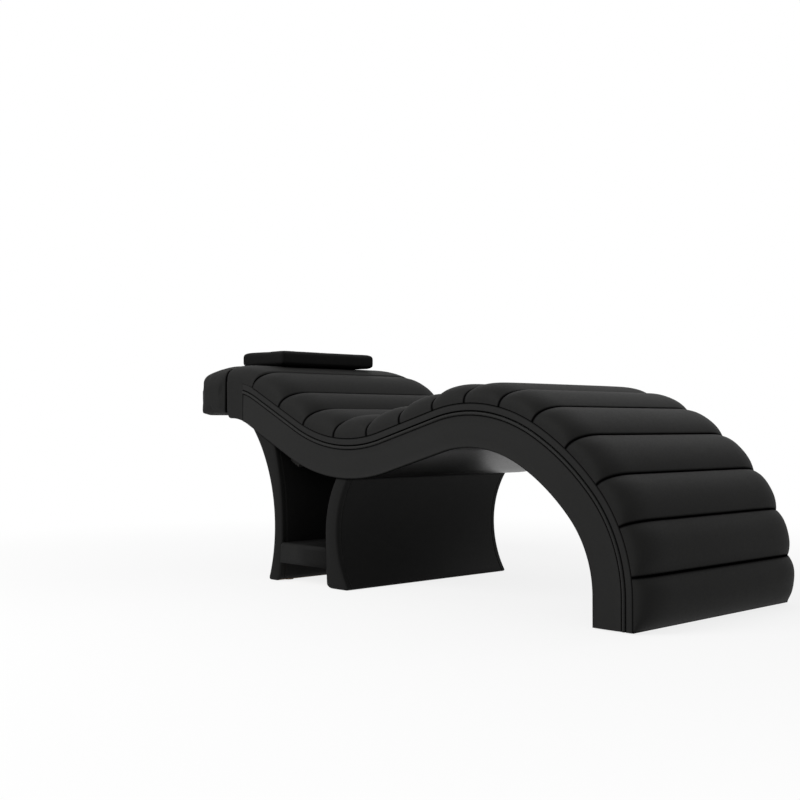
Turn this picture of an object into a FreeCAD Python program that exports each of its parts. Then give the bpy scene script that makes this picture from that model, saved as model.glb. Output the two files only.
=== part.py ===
import FreeCAD, Part
import math
import os

# Curved lash bed: a wave of plywood ribs with a channelled pad on top, standing on its own foot and
# on a waisted base with a shelf. A plug-in headrest and a loose pillow finish the head end.
# Millimetres and degrees. x runs from head to foot, y across the bed, z up from the floor.
# Pieces are drawn with x = 0 on the head face of the wave, and saved about the middle of the length.

V = FreeCAD.Vector

# Side line: tangent runs and arcs along the top of the frame, from the head face to the floor.
BED_WIDTH = 728.0
HEAD_HEIGHT = 610.0
HEAD_RUN = 22.0
HEAD_RADIUS = 315.0
HEAD_FALL = 25.4
BACK_RUN = 230.0
DIP_RADIUS = 556.0
THIGH_RISE = 15.6
THIGH_RUN = 230.0
CREST_RADIUS = 468.0
CREST_FALL = 28.4
SHIN_RADIUS = 676.0
SHIN_TURN = 19.7
ANKLE_RADIUS = 373.0
FLOOR_GAP = 3.0

# Fits
LAYER_GAP = 0.2
HOLE_GAP = 0.1
SOFT_GAP = 0.4
FLAT_GAP = 0.6

# Frame of the wave
FRAME_DEPTH = 93.0
DECK_THICKNESS = 5.0
UNDER_COVER = 4.0
RIB_THICKNESS = 18.0
SIDE_PAD = 10.0
BATTEN_WIDTH = 40.0
BATTEN_DEPTH = 34.0
BATTEN_COUNT = 11
BATTEN_LEAD = 78.0
FOOT_BLOCK_HEIGHT = 45.0

# Head end of the wave
WRAP_END = 12.0
WRAP_TOP = 86.0
SIDE_SEAM = 90.0
PAD_SEAM = 133.0
BULKHEAD_THICKNESS = 18.0
REAR_BULKHEAD = 100.0

# Pad
PIPING_DIAMETER = 8.0
PIPING_PROUD = 1.5
BORDER_HEIGHT = 28.0
BORDER_THICKNESS = 6.0
PAD_HEAD = 83.0
PAD_DIP = 84.0
PAD_CREST = 73.0
PAD_SHIN = 70.0
PAD_FOOT = 48.0
ROLL_COUNT = 14
ROLL_CROWN = 16.0
FOOT_ROLL_CROWN = 33.0
ROLL_END_CROWN = 0.5
SHOULDER_WIDTH = 110.0
SHOULDER_FULLNESS = 2.7
SHOULDER_LIP = 1.5
SHOULDER_STEPS = 6

# Headrest and the rods it slides on
HEADREST_GAP = 5.0
HEADREST_LENGTH = 145.0
HEADREST_DROP = 75.0
HEADREST_RISE = 84.0
HEADREST_END_RISE = 62.0
HEADREST_SIDE_RISE = 30.0
HEADREST_TOP_BOW = 4.0
HEADREST_NOSE = 26.0
HEADREST_PLAN_ROUND = 8.0
BOARD_THICKNESS = 18.0
BOARD_MARGIN = 45.0
BOARD_HEIGHT = 95.0
BOARD_LIFT = 6.0
BAR_THICKNESS = 4.0
BAR_HEIGHT = 26.0
ROD_DIAMETER = 20.0
ROD_SPACING = 360.0
ROD_DROP = 54.0
ROD_REACH = 160.0
ROD_PASSAGE = 3.0
BUSH_WALL = 1.92
BUSH_LENGTH = 30.0
RUNNING_GAP = 0.08
SOCKET_WALL = 2.0
SOCKET_LENGTH = 130.0
BAR_SCREW_COUNT = 6
BAR_SCREW_LENGTH = 16.0

# Loose pillow on the head end
PILLOW_WIDTH = 430.0
PILLOW_LENGTH = 240.0
PILLOW_THICKNESS = 50.0
PILLOW_OVER = 112.0
PILLOW_EDGE = 9.0
PILLOW_CROWN = 4.0
PILLOW_DRAW = 4.0

# Base: two waisted panels, a shelf between them, and the cleats that carry the wave
BASE_INSET = 6.0
PANEL_COVER = 8.0
PANEL_EDGE_RADIUS = 10.0
PANEL_LIP = 5.0
HEAD_PANEL_WAIST = 251.0
HEAD_PANEL_THICKNESS = 40.0
HEAD_PANEL_OUTER_RADII = (480.0, 480.0)
HEAD_PANEL_INNER_RADII = (800.0, 1200.0)
FOOT_PANEL_WAIST = 553.0
FOOT_PANEL_THICKNESS = 52.0
FOOT_PANEL_OUTER_RADII = (285.0, 300.0)
FOOT_PANEL_INNER_RADII = (300.0, 3000.0)
WAIST_HEIGHT = 170.0
PANEL_SWEEP = 80.0
SHELF_TOP = 124.0
SHELF_HEIGHT = 64.0
SHELF_BOARD = 18.0
SHELF_COVER = 5.0
APRON_THICKNESS = 22.0
DOWEL_DIAMETER = 10.0
DOWEL_LENGTH = 48.0
DOWEL_GRIP = 20.0
DOWEL_SPACING = 180.0
DOWEL_COUNT = 4
CLEAT_SIZE = 42.0
CLEAT_LIP = 24.0
CLEAT_END = 60.0
RAIL_WIDTH = 50.0
RAIL_DEPTH = 38.0
GLIDE_DIAMETER = 32.0
GLIDE_PIN = 5.0
GLIDE_PIN_LENGTH = 18.0
GLIDE_COUNT = 3
GLIDE_END = 60.0
FOOT_GLIDE_COUNT = 4

# Fasteners
BOLT_DIAMETER = 8.0
BOLT_HEAD = 13.0
BOLT_HEAD_HEIGHT = 8.0
BOLT_SPACING = 150.0
BOLT_COUNT = 4
WASHER_DIAMETER = 20.0
WASHER_THICKNESS = 2.0
TEE_FLANGE = 22.0
TEE_FLANGE_THICKNESS = 2.0
TEE_BARREL = 11.0
TEE_BARREL_LENGTH = 14.0
SCREW_DIAMETER = 5.0
SCREW_HEAD = 9.0
SCREW_HEAD_HEIGHT = 3.0
SCREW_BITE = 20.0
CLEAT_SCREW_COUNT = 3
CLEAT_SCREW_SPACING = 150.0


class SideLine:
    """Tangent runs and arcs in the XZ plane. A station is the length walked from the head face."""

    def __init__(self, x, z):
        self.legs = []
        self.length = 0.0
        self.x = x
        self.z = z
        self.heading = 0.0

    def add(self, length, curl):
        self.legs.append((self.length, length, self.x, self.z, self.heading, curl))
        end = self.walk(self.legs[-1], length)
        self.length += length
        self.x, self.z, self.heading = end

    def run(self, length):
        self.add(length, 0.0)

    def bend(self, radius, turn):
        self.add(radius * math.radians(abs(turn)), math.copysign(1.0 / radius, turn))

    def walk(self, leg, q):
        start, length, x, z, heading, curl = leg
        if curl == 0.0:
            return x + q * math.cos(heading), z + q * math.sin(heading), heading
        turned = heading + curl * q
        x += (math.sin(turned) - math.sin(heading)) / curl
        z -= (math.cos(turned) - math.cos(heading)) / curl
        return x, z, turned

    def spot(self, station):
        """Place and heading at a station; past an end the line goes straight on."""
        for leg in self.legs:
            if station <= leg[0] + leg[1] or leg is self.legs[-1]:
                return self.walk(leg, station - leg[0])

    def at(self, station, rise, along=0.0):
        """x and z of a point that stands rise above the line and a step along it."""
        x, z, heading = self.spot(station)
        x += along * math.cos(heading) - rise * math.sin(heading)
        z += along * math.sin(heading) + rise * math.cos(heading)
        return x, z

    def point(self, station, rise, y=0.0, along=0.0):
        x, z = self.at(station, rise, along)
        return V(x, y, z)

    def normal(self, station):
        heading = self.spot(station)[2]
        return V(-math.sin(heading), 0, math.cos(heading))

    def edges(self, rise, start, end, y):
        """Lines and arcs that stay rise above the line, between two stations."""
        found = []
        for leg_start, length, x, z, heading, curl in self.legs:
            low = max(start, leg_start)
            high = min(end, leg_start + length)
            if high - low < 1e-6:
                continue
            first = self.point(low, rise, y)
            last = self.point(high, rise, y)
            if curl == 0.0:
                found.append(Part.LineSegment(first, last).toShape())
            else:
                found.append(Part.Arc(first, self.point((low + high) / 2, rise, y), last).toShape())
        return found

    def station_at_x(self, x, rise):
        """Station whose point at that rise stands at x."""
        low = 0.0
        high = self.length
        for step in range(60):
            middle = (low + high) / 2
            if self.at(middle, rise)[0] < x:
                low = middle
            else:
                high = middle
        return (low + high) / 2

    def level_station(self, curl_sign):
        """Station of the dip (curl up) or the crest (curl down after the dip) where the line is level."""
        for start, length, x, z, heading, curl in self.legs[1:]:
            turned = heading + curl * length
            if curl * curl_sign > 0 and heading * turned < 0:
                return start - heading / curl


def side_line():
    line = SideLine(0.0, HEAD_HEIGHT)
    line.run(HEAD_RUN)
    line.bend(HEAD_RADIUS, -HEAD_FALL)
    line.run(BACK_RUN)
    line.bend(DIP_RADIUS, HEAD_FALL + THIGH_RISE)
    line.run(THIGH_RUN)
    line.bend(CREST_RADIUS, -THIGH_RISE - CREST_FALL)
    line.bend(SHIN_RADIUS, -SHIN_TURN)
    line.bend(ANKLE_RADIUS, -(90.0 - CREST_FALL - SHIN_TURN))
    line.run(line.z - FLOOR_GAP)
    return line


LINE = side_line()
HALF = BED_WIDTH / 2

# Levels of the layers, measured from the side line along its normal
RIB_TOP = -DECK_THICKNESS - LAYER_GAP
LOWER_DECK_LOW = -FRAME_DEPTH + UNDER_COVER + LAYER_GAP
RIB_LOW = LOWER_DECK_LOW + DECK_THICKNESS + LAYER_GAP
PIPING_RADIUS = PIPING_DIAMETER / 2
SEAM_RISE = BORDER_HEIGHT + LAYER_GAP

# Places across the bed
RIB_OUTER = HALF - SIDE_PAD - LAYER_GAP
RIB_INNER = RIB_OUTER - RIB_THICKNESS
INNER_HALF = RIB_INNER - LAYER_GAP
BASE_HALF = HALF - BASE_INSET

# Stations along the bed
FRAME_START = WRAP_END + LAYER_GAP
REAR_START = FRAME_START + REAR_BULKHEAD
REAR_END = REAR_START + BULKHEAD_THICKNESS
FOOT_START = LINE.length - FOOT_BLOCK_HEIGHT
SHIN_LEG = LINE.legs[-3]
SHIN_STATION = SHIN_LEG[0] + SHIN_LEG[1] / 2


def closed_face(edges):
    return Part.Face(Part.Wire(edges))


def band_wire(low, high, start, end, y):
    """Closed outline between two levels and two stations."""
    lower = LINE.edges(low, start, end, y)
    upper = LINE.edges(high, start, end, y)
    closing = Part.LineSegment(LINE.point(end, low, y), LINE.point(end, high, y)).toShape()
    opening = Part.LineSegment(LINE.point(start, high, y), LINE.point(start, low, y)).toShape()
    return Part.Wire(lower + [closing] + upper[::-1] + [opening])


def band(low, high, start, end, y_low, y_high):
    """Curved plate between two levels, two stations and two planes across the bed."""
    return Part.Face(band_wire(low, high, start, end, y_low)).extrude(V(0, y_high - y_low, 0))


def bar(station, back, front, low, high, half_length):
    """Straight bar across the bed, square to the line at its station."""
    corners = [(back, low), (front, low), (front, high), (back, high), (back, low)]
    outline = [LINE.point(station, rise, -half_length, along) for along, rise in corners]
    return Part.Face(Part.makePolygon(outline)).extrude(V(0, 2 * half_length, 0))


def peg(station, along, low, high, y, diameter):
    """Round pin along the line's normal, from one level to another."""
    base = LINE.point(station, low, y, along)
    return Part.makeCylinder(diameter / 2, high - low, base, LINE.normal(station))


def rod(diameter, start_x, end_x, y, z):
    """Round bar along the length of the bed."""
    return Part.makeCylinder(diameter / 2, end_x - start_x, V(start_x, y, z), V(1, 0, 0))


def post(diameter, x, y, low, high):
    """Upright round pin."""
    return Part.makeCylinder(diameter / 2, high - low, V(x, y, low))


def block(x_low, x_high, half_width, z_low, z_high):
    """Box that is centred across the bed."""
    corner = V(x_low, -half_width, z_low)
    return Part.makeBox(x_high - x_low, 2 * half_width, z_high - z_low, corner)


def spread(count, spacing):
    """Evenly spaced places across the bed, centred."""
    return [(index - (count - 1) / 2) * spacing for index in range(count)]


def across(count, half_width, end_margin):
    """Evenly spaced places across a width, a margin in from each end."""
    return spread(count, 2 * (half_width - end_margin) / (count - 1))


def shoulder_sections():
    """Places across the bed and the share of the full height there, over both rounded shoulders."""
    power = 2 / SHOULDER_FULLNESS
    rising = [(-HALF, 0.0)]
    for step in range(1, SHOULDER_STEPS):
        angle = math.radians(90.0 * step / SHOULDER_STEPS)
        inset = SHOULDER_WIDTH * (1 - math.cos(angle) ** power)
        rising.append((-HALF + inset, math.sin(angle) ** power))
    rising.append((-HALF + SHOULDER_WIDTH, 1.0))
    return rising + [(-y, share) for y, share in reversed(rising)]


# Frame of the wave

def batten_stations():
    span = FOOT_START - BATTEN_LEAD - (REAR_END + BATTEN_LEAD)
    return [REAR_END + BATTEN_LEAD + span * index / (BATTEN_COUNT - 1) for index in range(BATTEN_COUNT)]


def batten(station):
    high = RIB_TOP - FLAT_GAP
    return bar(station, -BATTEN_WIDTH / 2, BATTEN_WIDTH / 2, high - BATTEN_DEPTH, high, INNER_HALF)


def batten_slot(station):
    """Open slot in the centre rib that a batten drops into."""
    half = BATTEN_WIDTH / 2 + LAYER_GAP
    low = RIB_TOP - FLAT_GAP - BATTEN_DEPTH - LAYER_GAP
    return bar(station, -half, half, low, DECK_THICKNESS, INNER_HALF)


def side_rib(side):
    y_low = min(side * RIB_INNER, side * RIB_OUTER)
    return band(RIB_LOW, RIB_TOP, FRAME_START, LINE.length, y_low, y_low + RIB_THICKNESS)


def centre_rib():
    """Middle rib, slotted over the battens and the mounting rails."""
    half = RIB_THICKNESS / 2
    rib = band(RIB_LOW, RIB_TOP, REAR_END + LAYER_GAP, FOOT_START - LAYER_GAP, -half, half)
    slots = [batten_slot(station) for station in batten_stations()]
    slots += [rail_slot(station) for station in CLEAT_STATIONS]
    return rib.cut(slots)


def top_deck():
    return band(-DECK_THICKNESS, 0.0, FRAME_START, LINE.length, -RIB_OUTER, RIB_OUTER)


def lower_deck():
    high = LOWER_DECK_LOW + DECK_THICKNESS
    deck = band(LOWER_DECK_LOW, high, FRAME_START, LINE.length, -RIB_OUTER, RIB_OUTER)
    return deck.cut(bolt_holes())


def underside_cover():
    """Padded cover under the wave, from the head wrap to the floor."""
    cover = band(-FRAME_DEPTH, -FRAME_DEPTH + UNDER_COVER, 0.0, LINE.length, -RIB_OUTER, RIB_OUTER)
    return cover.cut([head_cutter()] + bolt_holes())


def foot_block():
    """Timber between the side ribs at the floor, drilled for the glides."""
    piece = band(RIB_LOW, RIB_TOP, FOOT_START, LINE.length, -INNER_HALF, INNER_HALF)
    return piece.cut([glide_pin(x, y, HOLE_GAP) for x, y in foot_glide_places()])


def mounting_rail(station):
    low = RIB_LOW + FLAT_GAP
    return bar(station, -RAIL_WIDTH / 2, RAIL_WIDTH / 2, low, low + RAIL_DEPTH, INNER_HALF)


def rail_slot(station):
    """Open slot in the lower edge of the centre rib, over a mounting rail."""
    half = RAIL_WIDTH / 2 + LAYER_GAP
    high = RIB_LOW + FLAT_GAP + RAIL_DEPTH + LAYER_GAP
    return bar(station, -half, half, -FRAME_DEPTH, high, INNER_HALF)


# Head end

def rod_height():
    return HEAD_HEIGHT - ROD_DROP


def rod_places():
    return [(y, rod_height()) for y in spread(2, ROD_SPACING)]


def socket_bore():
    return ROD_DIAMETER + 2 * (RUNNING_GAP + BUSH_WALL)


def socket_outside():
    return socket_bore() + 2 * SOCKET_WALL


def bulkhead(start):
    """Plywood plate between the side ribs that holds the rod sockets."""
    end = start + BULKHEAD_THICKNESS
    plate = band(RIB_LOW, RIB_TOP, start, end, -INNER_HALF, INNER_HALF)
    bore = socket_outside() + 2 * HOLE_GAP
    return plate.cut([rod(bore, -SOCKET_LENGTH, 2 * SOCKET_LENGTH, y, z) for y, z in rod_places()])


def rod_sockets():
    tubes = []
    for y, z in rod_places():
        tube = rod(socket_outside(), FRAME_START, FRAME_START + SOCKET_LENGTH, y, z)
        tubes.append(tube.cut(rod(socket_bore(), 0.0, 2 * SOCKET_LENGTH, y, z)))
    return Part.makeCompound(tubes)


def rod_bushes():
    bushes = []
    outside = socket_bore() - 2 * HOLE_GAP
    for y, z in rod_places():
        for start in (FRAME_START, FRAME_START + SOCKET_LENGTH - BUSH_LENGTH):
            bush = rod(outside, start, start + BUSH_LENGTH, y, z)
            bore = rod(ROD_DIAMETER + 2 * RUNNING_GAP, 0.0, 2 * SOCKET_LENGTH, y, z)
            bushes.append(bush.cut(bore))
    return Part.makeCompound(bushes)


def head_wrap():
    """Padded sleeve over the head end: four walls, an end wall and the plain rise up to the pad."""
    sleeve_end = LINE.station_at_x(SIDE_SEAM, -FRAME_DEPTH) + SIDE_SEAM
    sleeve = band(-FRAME_DEPTH, BORDER_HEIGHT, 0.0, sleeve_end, -HALF, HALF)
    sleeve = sleeve.common(block(0.0, SIDE_SEAM, BED_WIDTH, 0.0, 2 * HEAD_HEIGHT))
    hollow_low = -FRAME_DEPTH + UNDER_COVER
    hollow_half = RIB_OUTER + LAYER_GAP
    hollow = band(hollow_low, LAYER_GAP, WRAP_END, sleeve_end, -hollow_half, hollow_half)
    sections = []
    for y, share in shoulder_sections():
        top = BORDER_HEIGHT + SHOULDER_LIP + (WRAP_TOP - BORDER_HEIGHT - SHOULDER_LIP) * share
        sections.append(band_wire(BORDER_HEIGHT, top, 0.0, PAD_SEAM, y))
    crown = Part.makeLoft(sections, True, True)
    passage = ROD_DIAMETER + 2 * ROD_PASSAGE
    holes = [rod(passage, -WRAP_END, 2 * WRAP_END, y, z) for y, z in rod_places()]
    return sleeve.cut([hollow] + holes).fuse(crown).removeSplitter()


# Pad

def head_cutter():
    """Everything on the head side of the upright side seam."""
    return block(-SIDE_SEAM, SIDE_SEAM + LAYER_GAP, BED_WIDTH, 0.0, 2 * HEAD_HEIGHT)


def side_panel(side):
    y_low = min(side * HALF, side * (HALF - SIDE_PAD))
    panel = band(-FRAME_DEPTH, -PIPING_RADIUS, 0.0, LINE.length, y_low, y_low + SIDE_PAD)
    return panel.cut(head_cutter())


def border(side):
    """Strip of cover that closes the side of the pad, between the piping and the rolls."""
    y_low = min(side * HALF, side * (HALF - BORDER_THICKNESS))
    strip = band(PIPING_RADIUS, BORDER_HEIGHT, 0.0, LINE.length, y_low, y_low + BORDER_THICKNESS)
    return strip.cut(head_cutter())


def piping(side):
    """Covered cord that runs along the side line, in the seam above the side panel."""
    start = LINE.station_at_x(SIDE_SEAM + LAYER_GAP, -PIPING_RADIUS)
    y = side * (HALF + PIPING_PROUD - PIPING_RADIUS)
    path = Part.Wire(LINE.edges(0.0, start, LINE.length, y))
    x, z, heading = LINE.spot(start)
    along = V(math.cos(heading), 0, math.sin(heading))
    section = Part.Wire(Part.makeCircle(PIPING_RADIUS - LAYER_GAP, V(x, y, z), along))
    return path.makePipeShell([section], True, False)


def pad_foam():
    half = HALF - BORDER_THICKNESS - LAYER_GAP
    slab = band(LAYER_GAP, BORDER_HEIGHT - LAYER_GAP, 0.0, LINE.length, -half, half)
    relief_low = HALF + PIPING_PROUD - PIPING_DIAMETER
    slab = slab.cut(head_cutter())
    grooves = [band(-PIPING_DIAMETER, PIPING_RADIUS, 0.0, LINE.length, relief_low, HALF),
               band(-PIPING_DIAMETER, PIPING_RADIUS, 0.0, LINE.length, -HALF, -relief_low)]
    return slab.cut(grooves)


def pad_rise(station):
    """Height of the sewn seams of the pad above the side line: full in the dip, thin at the foot."""
    stops = [(PAD_SEAM, PAD_HEAD), (LINE.level_station(1), PAD_DIP), (LINE.level_station(-1), PAD_CREST),
             (SHIN_STATION, PAD_SHIN), (LINE.length, PAD_FOOT)]
    for (low, low_rise), (high, high_rise) in zip(stops, stops[1:]):
        if station <= high:
            return low_rise + (high_rise - low_rise) * (station - low) / (high - low)
    return PAD_FOOT


def roll_stations():
    """Stations of the sewn seams: the rolls are equally long, measured over their crowns."""
    steps = 40 * ROLL_COUNT
    start = PAD_SEAM + LAYER_GAP
    stations = [start + (LINE.length - start) * index / steps for index in range(steps + 1)]
    places = [LINE.point(station, pad_rise(station) + ROLL_CROWN) for station in stations]
    walked = [0.0]
    for first, second in zip(places, places[1:]):
        walked.append(walked[-1] + first.distanceToPoint(second))
    seams = []
    index = 0
    for roll in range(ROLL_COUNT + 1):
        target = walked[-1] * roll / ROLL_COUNT
        while index < steps - 1 and walked[index + 1] < target:
            index += 1
        share = (target - walked[index]) / (walked[index + 1] - walked[index])
        seams.append(stations[index] + (stations[index + 1] - stations[index]) * share)
    return seams


def pad_section(seams, y, share):
    """Outline of the pad in one plane: one arc for each roll, the last one tucked in at the floor."""
    low = SEAM_RISE + LAYER_GAP
    edge = low + SHOULDER_LIP
    rises = [edge + (pad_rise(station) - edge) * share for station in seams[:-1]] + [edge]
    crowns = [ROLL_CROWN] * (ROLL_COUNT - 1) + [FOOT_ROLL_CROWN]
    lower = LINE.edges(low, seams[0], seams[-1], y)
    closing = Part.LineSegment(LINE.point(seams[-1], low, y), LINE.point(seams[-1], rises[-1], y))
    opening = Part.LineSegment(LINE.point(seams[0], rises[0], y), LINE.point(seams[0], low, y))
    rolls = []
    for index in range(ROLL_COUNT):
        first = LINE.point(seams[index], rises[index], y)
        last = LINE.point(seams[index + 1], rises[index + 1], y)
        middle = (seams[index] + seams[index + 1]) / 2
        crown = ROLL_END_CROWN + (crowns[index] - ROLL_END_CROWN) * share
        top = LINE.point(middle, (rises[index] + rises[index + 1]) / 2 + crown, y)
        rolls.append(Part.Arc(last, top, first).toShape())
    return Part.Wire(lower + [closing.toShape()] + rolls[::-1] + [opening.toShape()])


def channel_pad():
    """Quilted top: rolls across the bed, rounded down to the border over both shoulders."""
    seams = roll_stations()
    sections = [pad_section(seams, y, share) for y, share in shoulder_sections()]
    return Part.makeLoft(sections, True, True)


# Headrest

def headrest_outline(y, share):
    """Side view of the headrest in one plane; towards the sides it is lower and its nose shorter."""
    back = -HEADREST_GAP
    nose = back - HEADREST_LENGTH + HEADREST_PLAN_ROUND * (1 - share)
    low = HEAD_HEIGHT - HEADREST_DROP
    side_drop = (HEADREST_RISE - HEADREST_SIDE_RISE) * (1 - share)
    high = HEAD_HEIGHT + HEADREST_RISE - side_drop
    nose_high = HEAD_HEIGHT + HEADREST_END_RISE - side_drop
    bend = HEADREST_NOSE * (1 - math.sqrt(0.5))
    round_top = nose_high - HEADREST_NOSE
    round_low = low + HEADREST_NOSE
    shoulder = nose + HEADREST_NOSE
    bow_x = (back + shoulder) / 2
    bow_z = (high + nose_high) / 2 + HEADREST_TOP_BOW
    edges = [
        Part.LineSegment(V(back, y, low), V(shoulder, y, low)),
        Part.Arc(V(shoulder, y, low), V(nose + bend, y, low + bend), V(nose, y, round_low)),
        Part.LineSegment(V(nose, y, round_low), V(nose, y, round_top)),
        Part.Arc(V(nose, y, round_top), V(nose + bend, y, nose_high - bend), V(shoulder, y, nose_high)),
        Part.Arc(V(shoulder, y, nose_high), V(bow_x, y, bow_z), V(back, y, high)),
        Part.LineSegment(V(back, y, high), V(back, y, low)),
    ]
    return Part.Wire([edge.toShape() for edge in edges])


def board_box(gap, depth):
    low = HEAD_HEIGHT - HEADREST_DROP + BOARD_LIFT
    back = -HEADREST_GAP
    return block(back - depth, back, HALF - BOARD_MARGIN + gap, low - gap, low + BOARD_HEIGHT + gap)


def bar_box(gap, extra_depth):
    front = -HEADREST_GAP - BOARD_THICKNESS
    low = rod_height() - BAR_HEIGHT / 2
    half = ROD_SPACING / 2 + BAR_HEIGHT
    return block(front - BAR_THICKNESS - extra_depth, front, half + gap, low - gap, low + BAR_HEIGHT + gap)


def bar_screw_places():
    return across(BAR_SCREW_COUNT, ROD_SPACING / 2 + BAR_HEIGHT, SCREW_HEAD)


def headrest_screws(gap):
    front = -HEADREST_GAP - BOARD_THICKNESS
    under_head = front - BAR_THICKNESS
    screws = []
    for y in bar_screw_places():
        z = rod_height()
        shank = rod(SCREW_DIAMETER + 2 * gap, under_head, under_head + BAR_SCREW_LENGTH, y, z)
        head = rod(SCREW_HEAD, under_head - SCREW_HEAD_HEIGHT, under_head, y, z)
        screws.append(shank.fuse(head).removeSplitter())
    return screws


def headrest_cushion():
    sections = [headrest_outline(y, share) for y, share in shoulder_sections()]
    cushion = Part.makeLoft(sections, True, True)
    pockets = [board_box(LAYER_GAP, BOARD_THICKNESS + LAYER_GAP),
               bar_box(LAYER_GAP, SCREW_HEAD_HEIGHT + LAYER_GAP)]
    return cushion.cut(pockets)


def headrest_rods(gap):
    start = -HEADREST_GAP - BOARD_THICKNESS
    return [rod(ROD_DIAMETER + 2 * gap, start, ROD_REACH, y, z) for y, z in rod_places()]


def headrest_board():
    return board_box(0.0, BOARD_THICKNESS).cut(headrest_rods(HOLE_GAP) + headrest_screws(HOLE_GAP))


def headrest_bar():
    return bar_box(0.0, 0.0).cut(headrest_screws(HOLE_GAP))


# Pillow

def pillow_outline(inset, z):
    """Rectangle with sides that draw in a little between the corners."""
    x_low = PILLOW_OVER - PILLOW_LENGTH + inset
    x_high = PILLOW_OVER - inset
    half = PILLOW_WIDTH / 2 - inset
    middle_x = (x_low + x_high) / 2
    corners = [V(x_low, -half, z), V(x_high, -half, z), V(x_high, half, z), V(x_low, half, z)]
    draws = [V(middle_x, PILLOW_DRAW - half, z), V(x_high - PILLOW_DRAW, 0, z),
             V(middle_x, half - PILLOW_DRAW, z), V(x_low + PILLOW_DRAW, 0, z)]
    sides = []
    for index in range(4):
        sides.append(Part.Arc(corners[index], draws[index], corners[(index + 1) % 4]).toShape())
    return Part.Wire(sides)


def head_pillow():
    """Flat foam pillow that lies on the head wrap: drawn-in sides, soft edges, a low crown."""
    floor = HEAD_HEIGHT + WRAP_TOP + SOFT_GAP
    corner = PILLOW_EDGE * (1 - math.sqrt(0.5))
    side_top = floor + PILLOW_THICKNESS - PILLOW_CROWN
    top = floor + PILLOW_THICKNESS
    levels = [(PILLOW_EDGE, floor), (corner, floor + corner), (0.0, floor + PILLOW_EDGE),
              (0.0, side_top - PILLOW_EDGE), (corner, side_top - corner), (PILLOW_EDGE, side_top),
              (3 * PILLOW_EDGE, side_top + PILLOW_CROWN * 0.6), (7 * PILLOW_EDGE, top)]
    return Part.makeLoft([pillow_outline(inset, z) for inset, z in levels], True, True)


# Base

def panel_sizes(side):
    """Waist place, thickness and the radii of both faces of a base panel; the head panel's side is -1."""
    if side < 0:
        return HEAD_PANEL_WAIST, HEAD_PANEL_THICKNESS, HEAD_PANEL_OUTER_RADII, HEAD_PANEL_INNER_RADII
    return FOOT_PANEL_WAIST, FOOT_PANEL_THICKNESS, FOOT_PANEL_OUTER_RADII, FOOT_PANEL_INNER_RADII


def hollow_x(side, waist, radii, z):
    """x at a height on a face that is hollowed by one radius above the waist and one below it."""
    radius = radii[0] if z > WAIST_HEIGHT else radii[1]
    return waist + side * (radius - math.sqrt(radius ** 2 - (z - WAIST_HEIGHT) ** 2))


def panel_face_x(side, z):
    """x of a base panel's inner face at a height."""
    waist, thickness, outer_radii, inner_radii = panel_sizes(side)
    return hollow_x(side, waist - side * thickness, inner_radii, z)


def panel_prism(side, trim):
    """Waisted panel, all its faces set in by the trim, tall enough to be cut to the wave."""
    waist, thickness, outer_radii, inner_radii = panel_sizes(side)
    half_width = BASE_HALF - trim
    faces = ((waist - side * trim, [radius + trim for radius in outer_radii]),
             (waist - side * (thickness - trim), [radius - trim for radius in inner_radii]))
    lines = []
    for face_waist, radii in faces:
        steepest = WAIST_HEIGHT + radii[0] * math.sin(math.radians(PANEL_SWEEP))
        top = min(HEAD_HEIGHT - FRAME_DEPTH, steepest)
        heights = (FLOOR_GAP, (FLOOR_GAP + WAIST_HEIGHT) / 2, WAIST_HEIGHT, (WAIST_HEIGHT + top) / 2, top)
        lines.append([V(hollow_x(side, face_waist, radii, z), -half_width, z) for z in heights])
    outer, inner = lines
    edges = [Part.Arc(*outer[:3]), Part.Arc(*outer[2:]), Part.LineSegment(outer[4], inner[4]),
             Part.Arc(*inner[:1:-1]), Part.Arc(*inner[2::-1]), Part.LineSegment(inner[0], outer[0])]
    return closed_face([edge.toShape() for edge in edges]).extrude(V(0, 2 * half_width, 0))


def wave_trimmer():
    """All that lies above the underside of the wave, from head to crest, a hair lower than the cover."""
    low = -FRAME_DEPTH - LAYER_GAP
    crest = LINE.level_station(-1)
    first = LINE.point(0.0, low, -BED_WIDTH)
    last = LINE.point(crest, low, -BED_WIDTH)
    lift = V(0, 0, HEAD_HEIGHT)
    sides = [Part.LineSegment(last, last + lift), Part.LineSegment(last + lift, first + lift),
             Part.LineSegment(first + lift, first)]
    edges = LINE.edges(low, 0.0, crest, -BED_WIDTH) + [side.toShape() for side in sides]
    return closed_face(edges).extrude(V(0, 2 * BED_WIDTH, 0))


def cleat_station(side):
    """Station where the lower corner of a cleat, square to the wave, meets its base panel."""
    station = LINE.station_at_x(panel_face_x(side, WAIST_HEIGHT), -FRAME_DEPTH)
    for step in range(40):
        x, z = LINE.at(station, CLEAT_LOW, side * CLEAT_SIZE / 2)
        station += panel_face_x(side, z) - x
    return station


BASE_SIDES = (-1, 1)
CLEAT_HIGH = -FRAME_DEPTH - LAYER_GAP
CLEAT_LOW = CLEAT_HIGH - CLEAT_SIZE
CLEAT_STATIONS = [cleat_station(side) for side in BASE_SIDES]
RAIL_HIGH = RIB_LOW + FLAT_GAP + RAIL_DEPTH
BOARD_HIGH = SHELF_TOP - SHELF_COVER - LAYER_GAP
BOARD_LOW = BOARD_HIGH - SHELF_BOARD
SHELF_LOW = SHELF_TOP - SHELF_HEIGHT


def bolt_places():
    return [(station, y) for station in CLEAT_STATIONS for y in spread(BOLT_COUNT, BOLT_SPACING)]


def bolt_holes():
    hole = BOLT_DIAMETER + 2 * HOLE_GAP
    return [peg(station, 0.0, CLEAT_LOW, RAIL_HIGH, y, hole) for station, y in bolt_places()]


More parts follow.
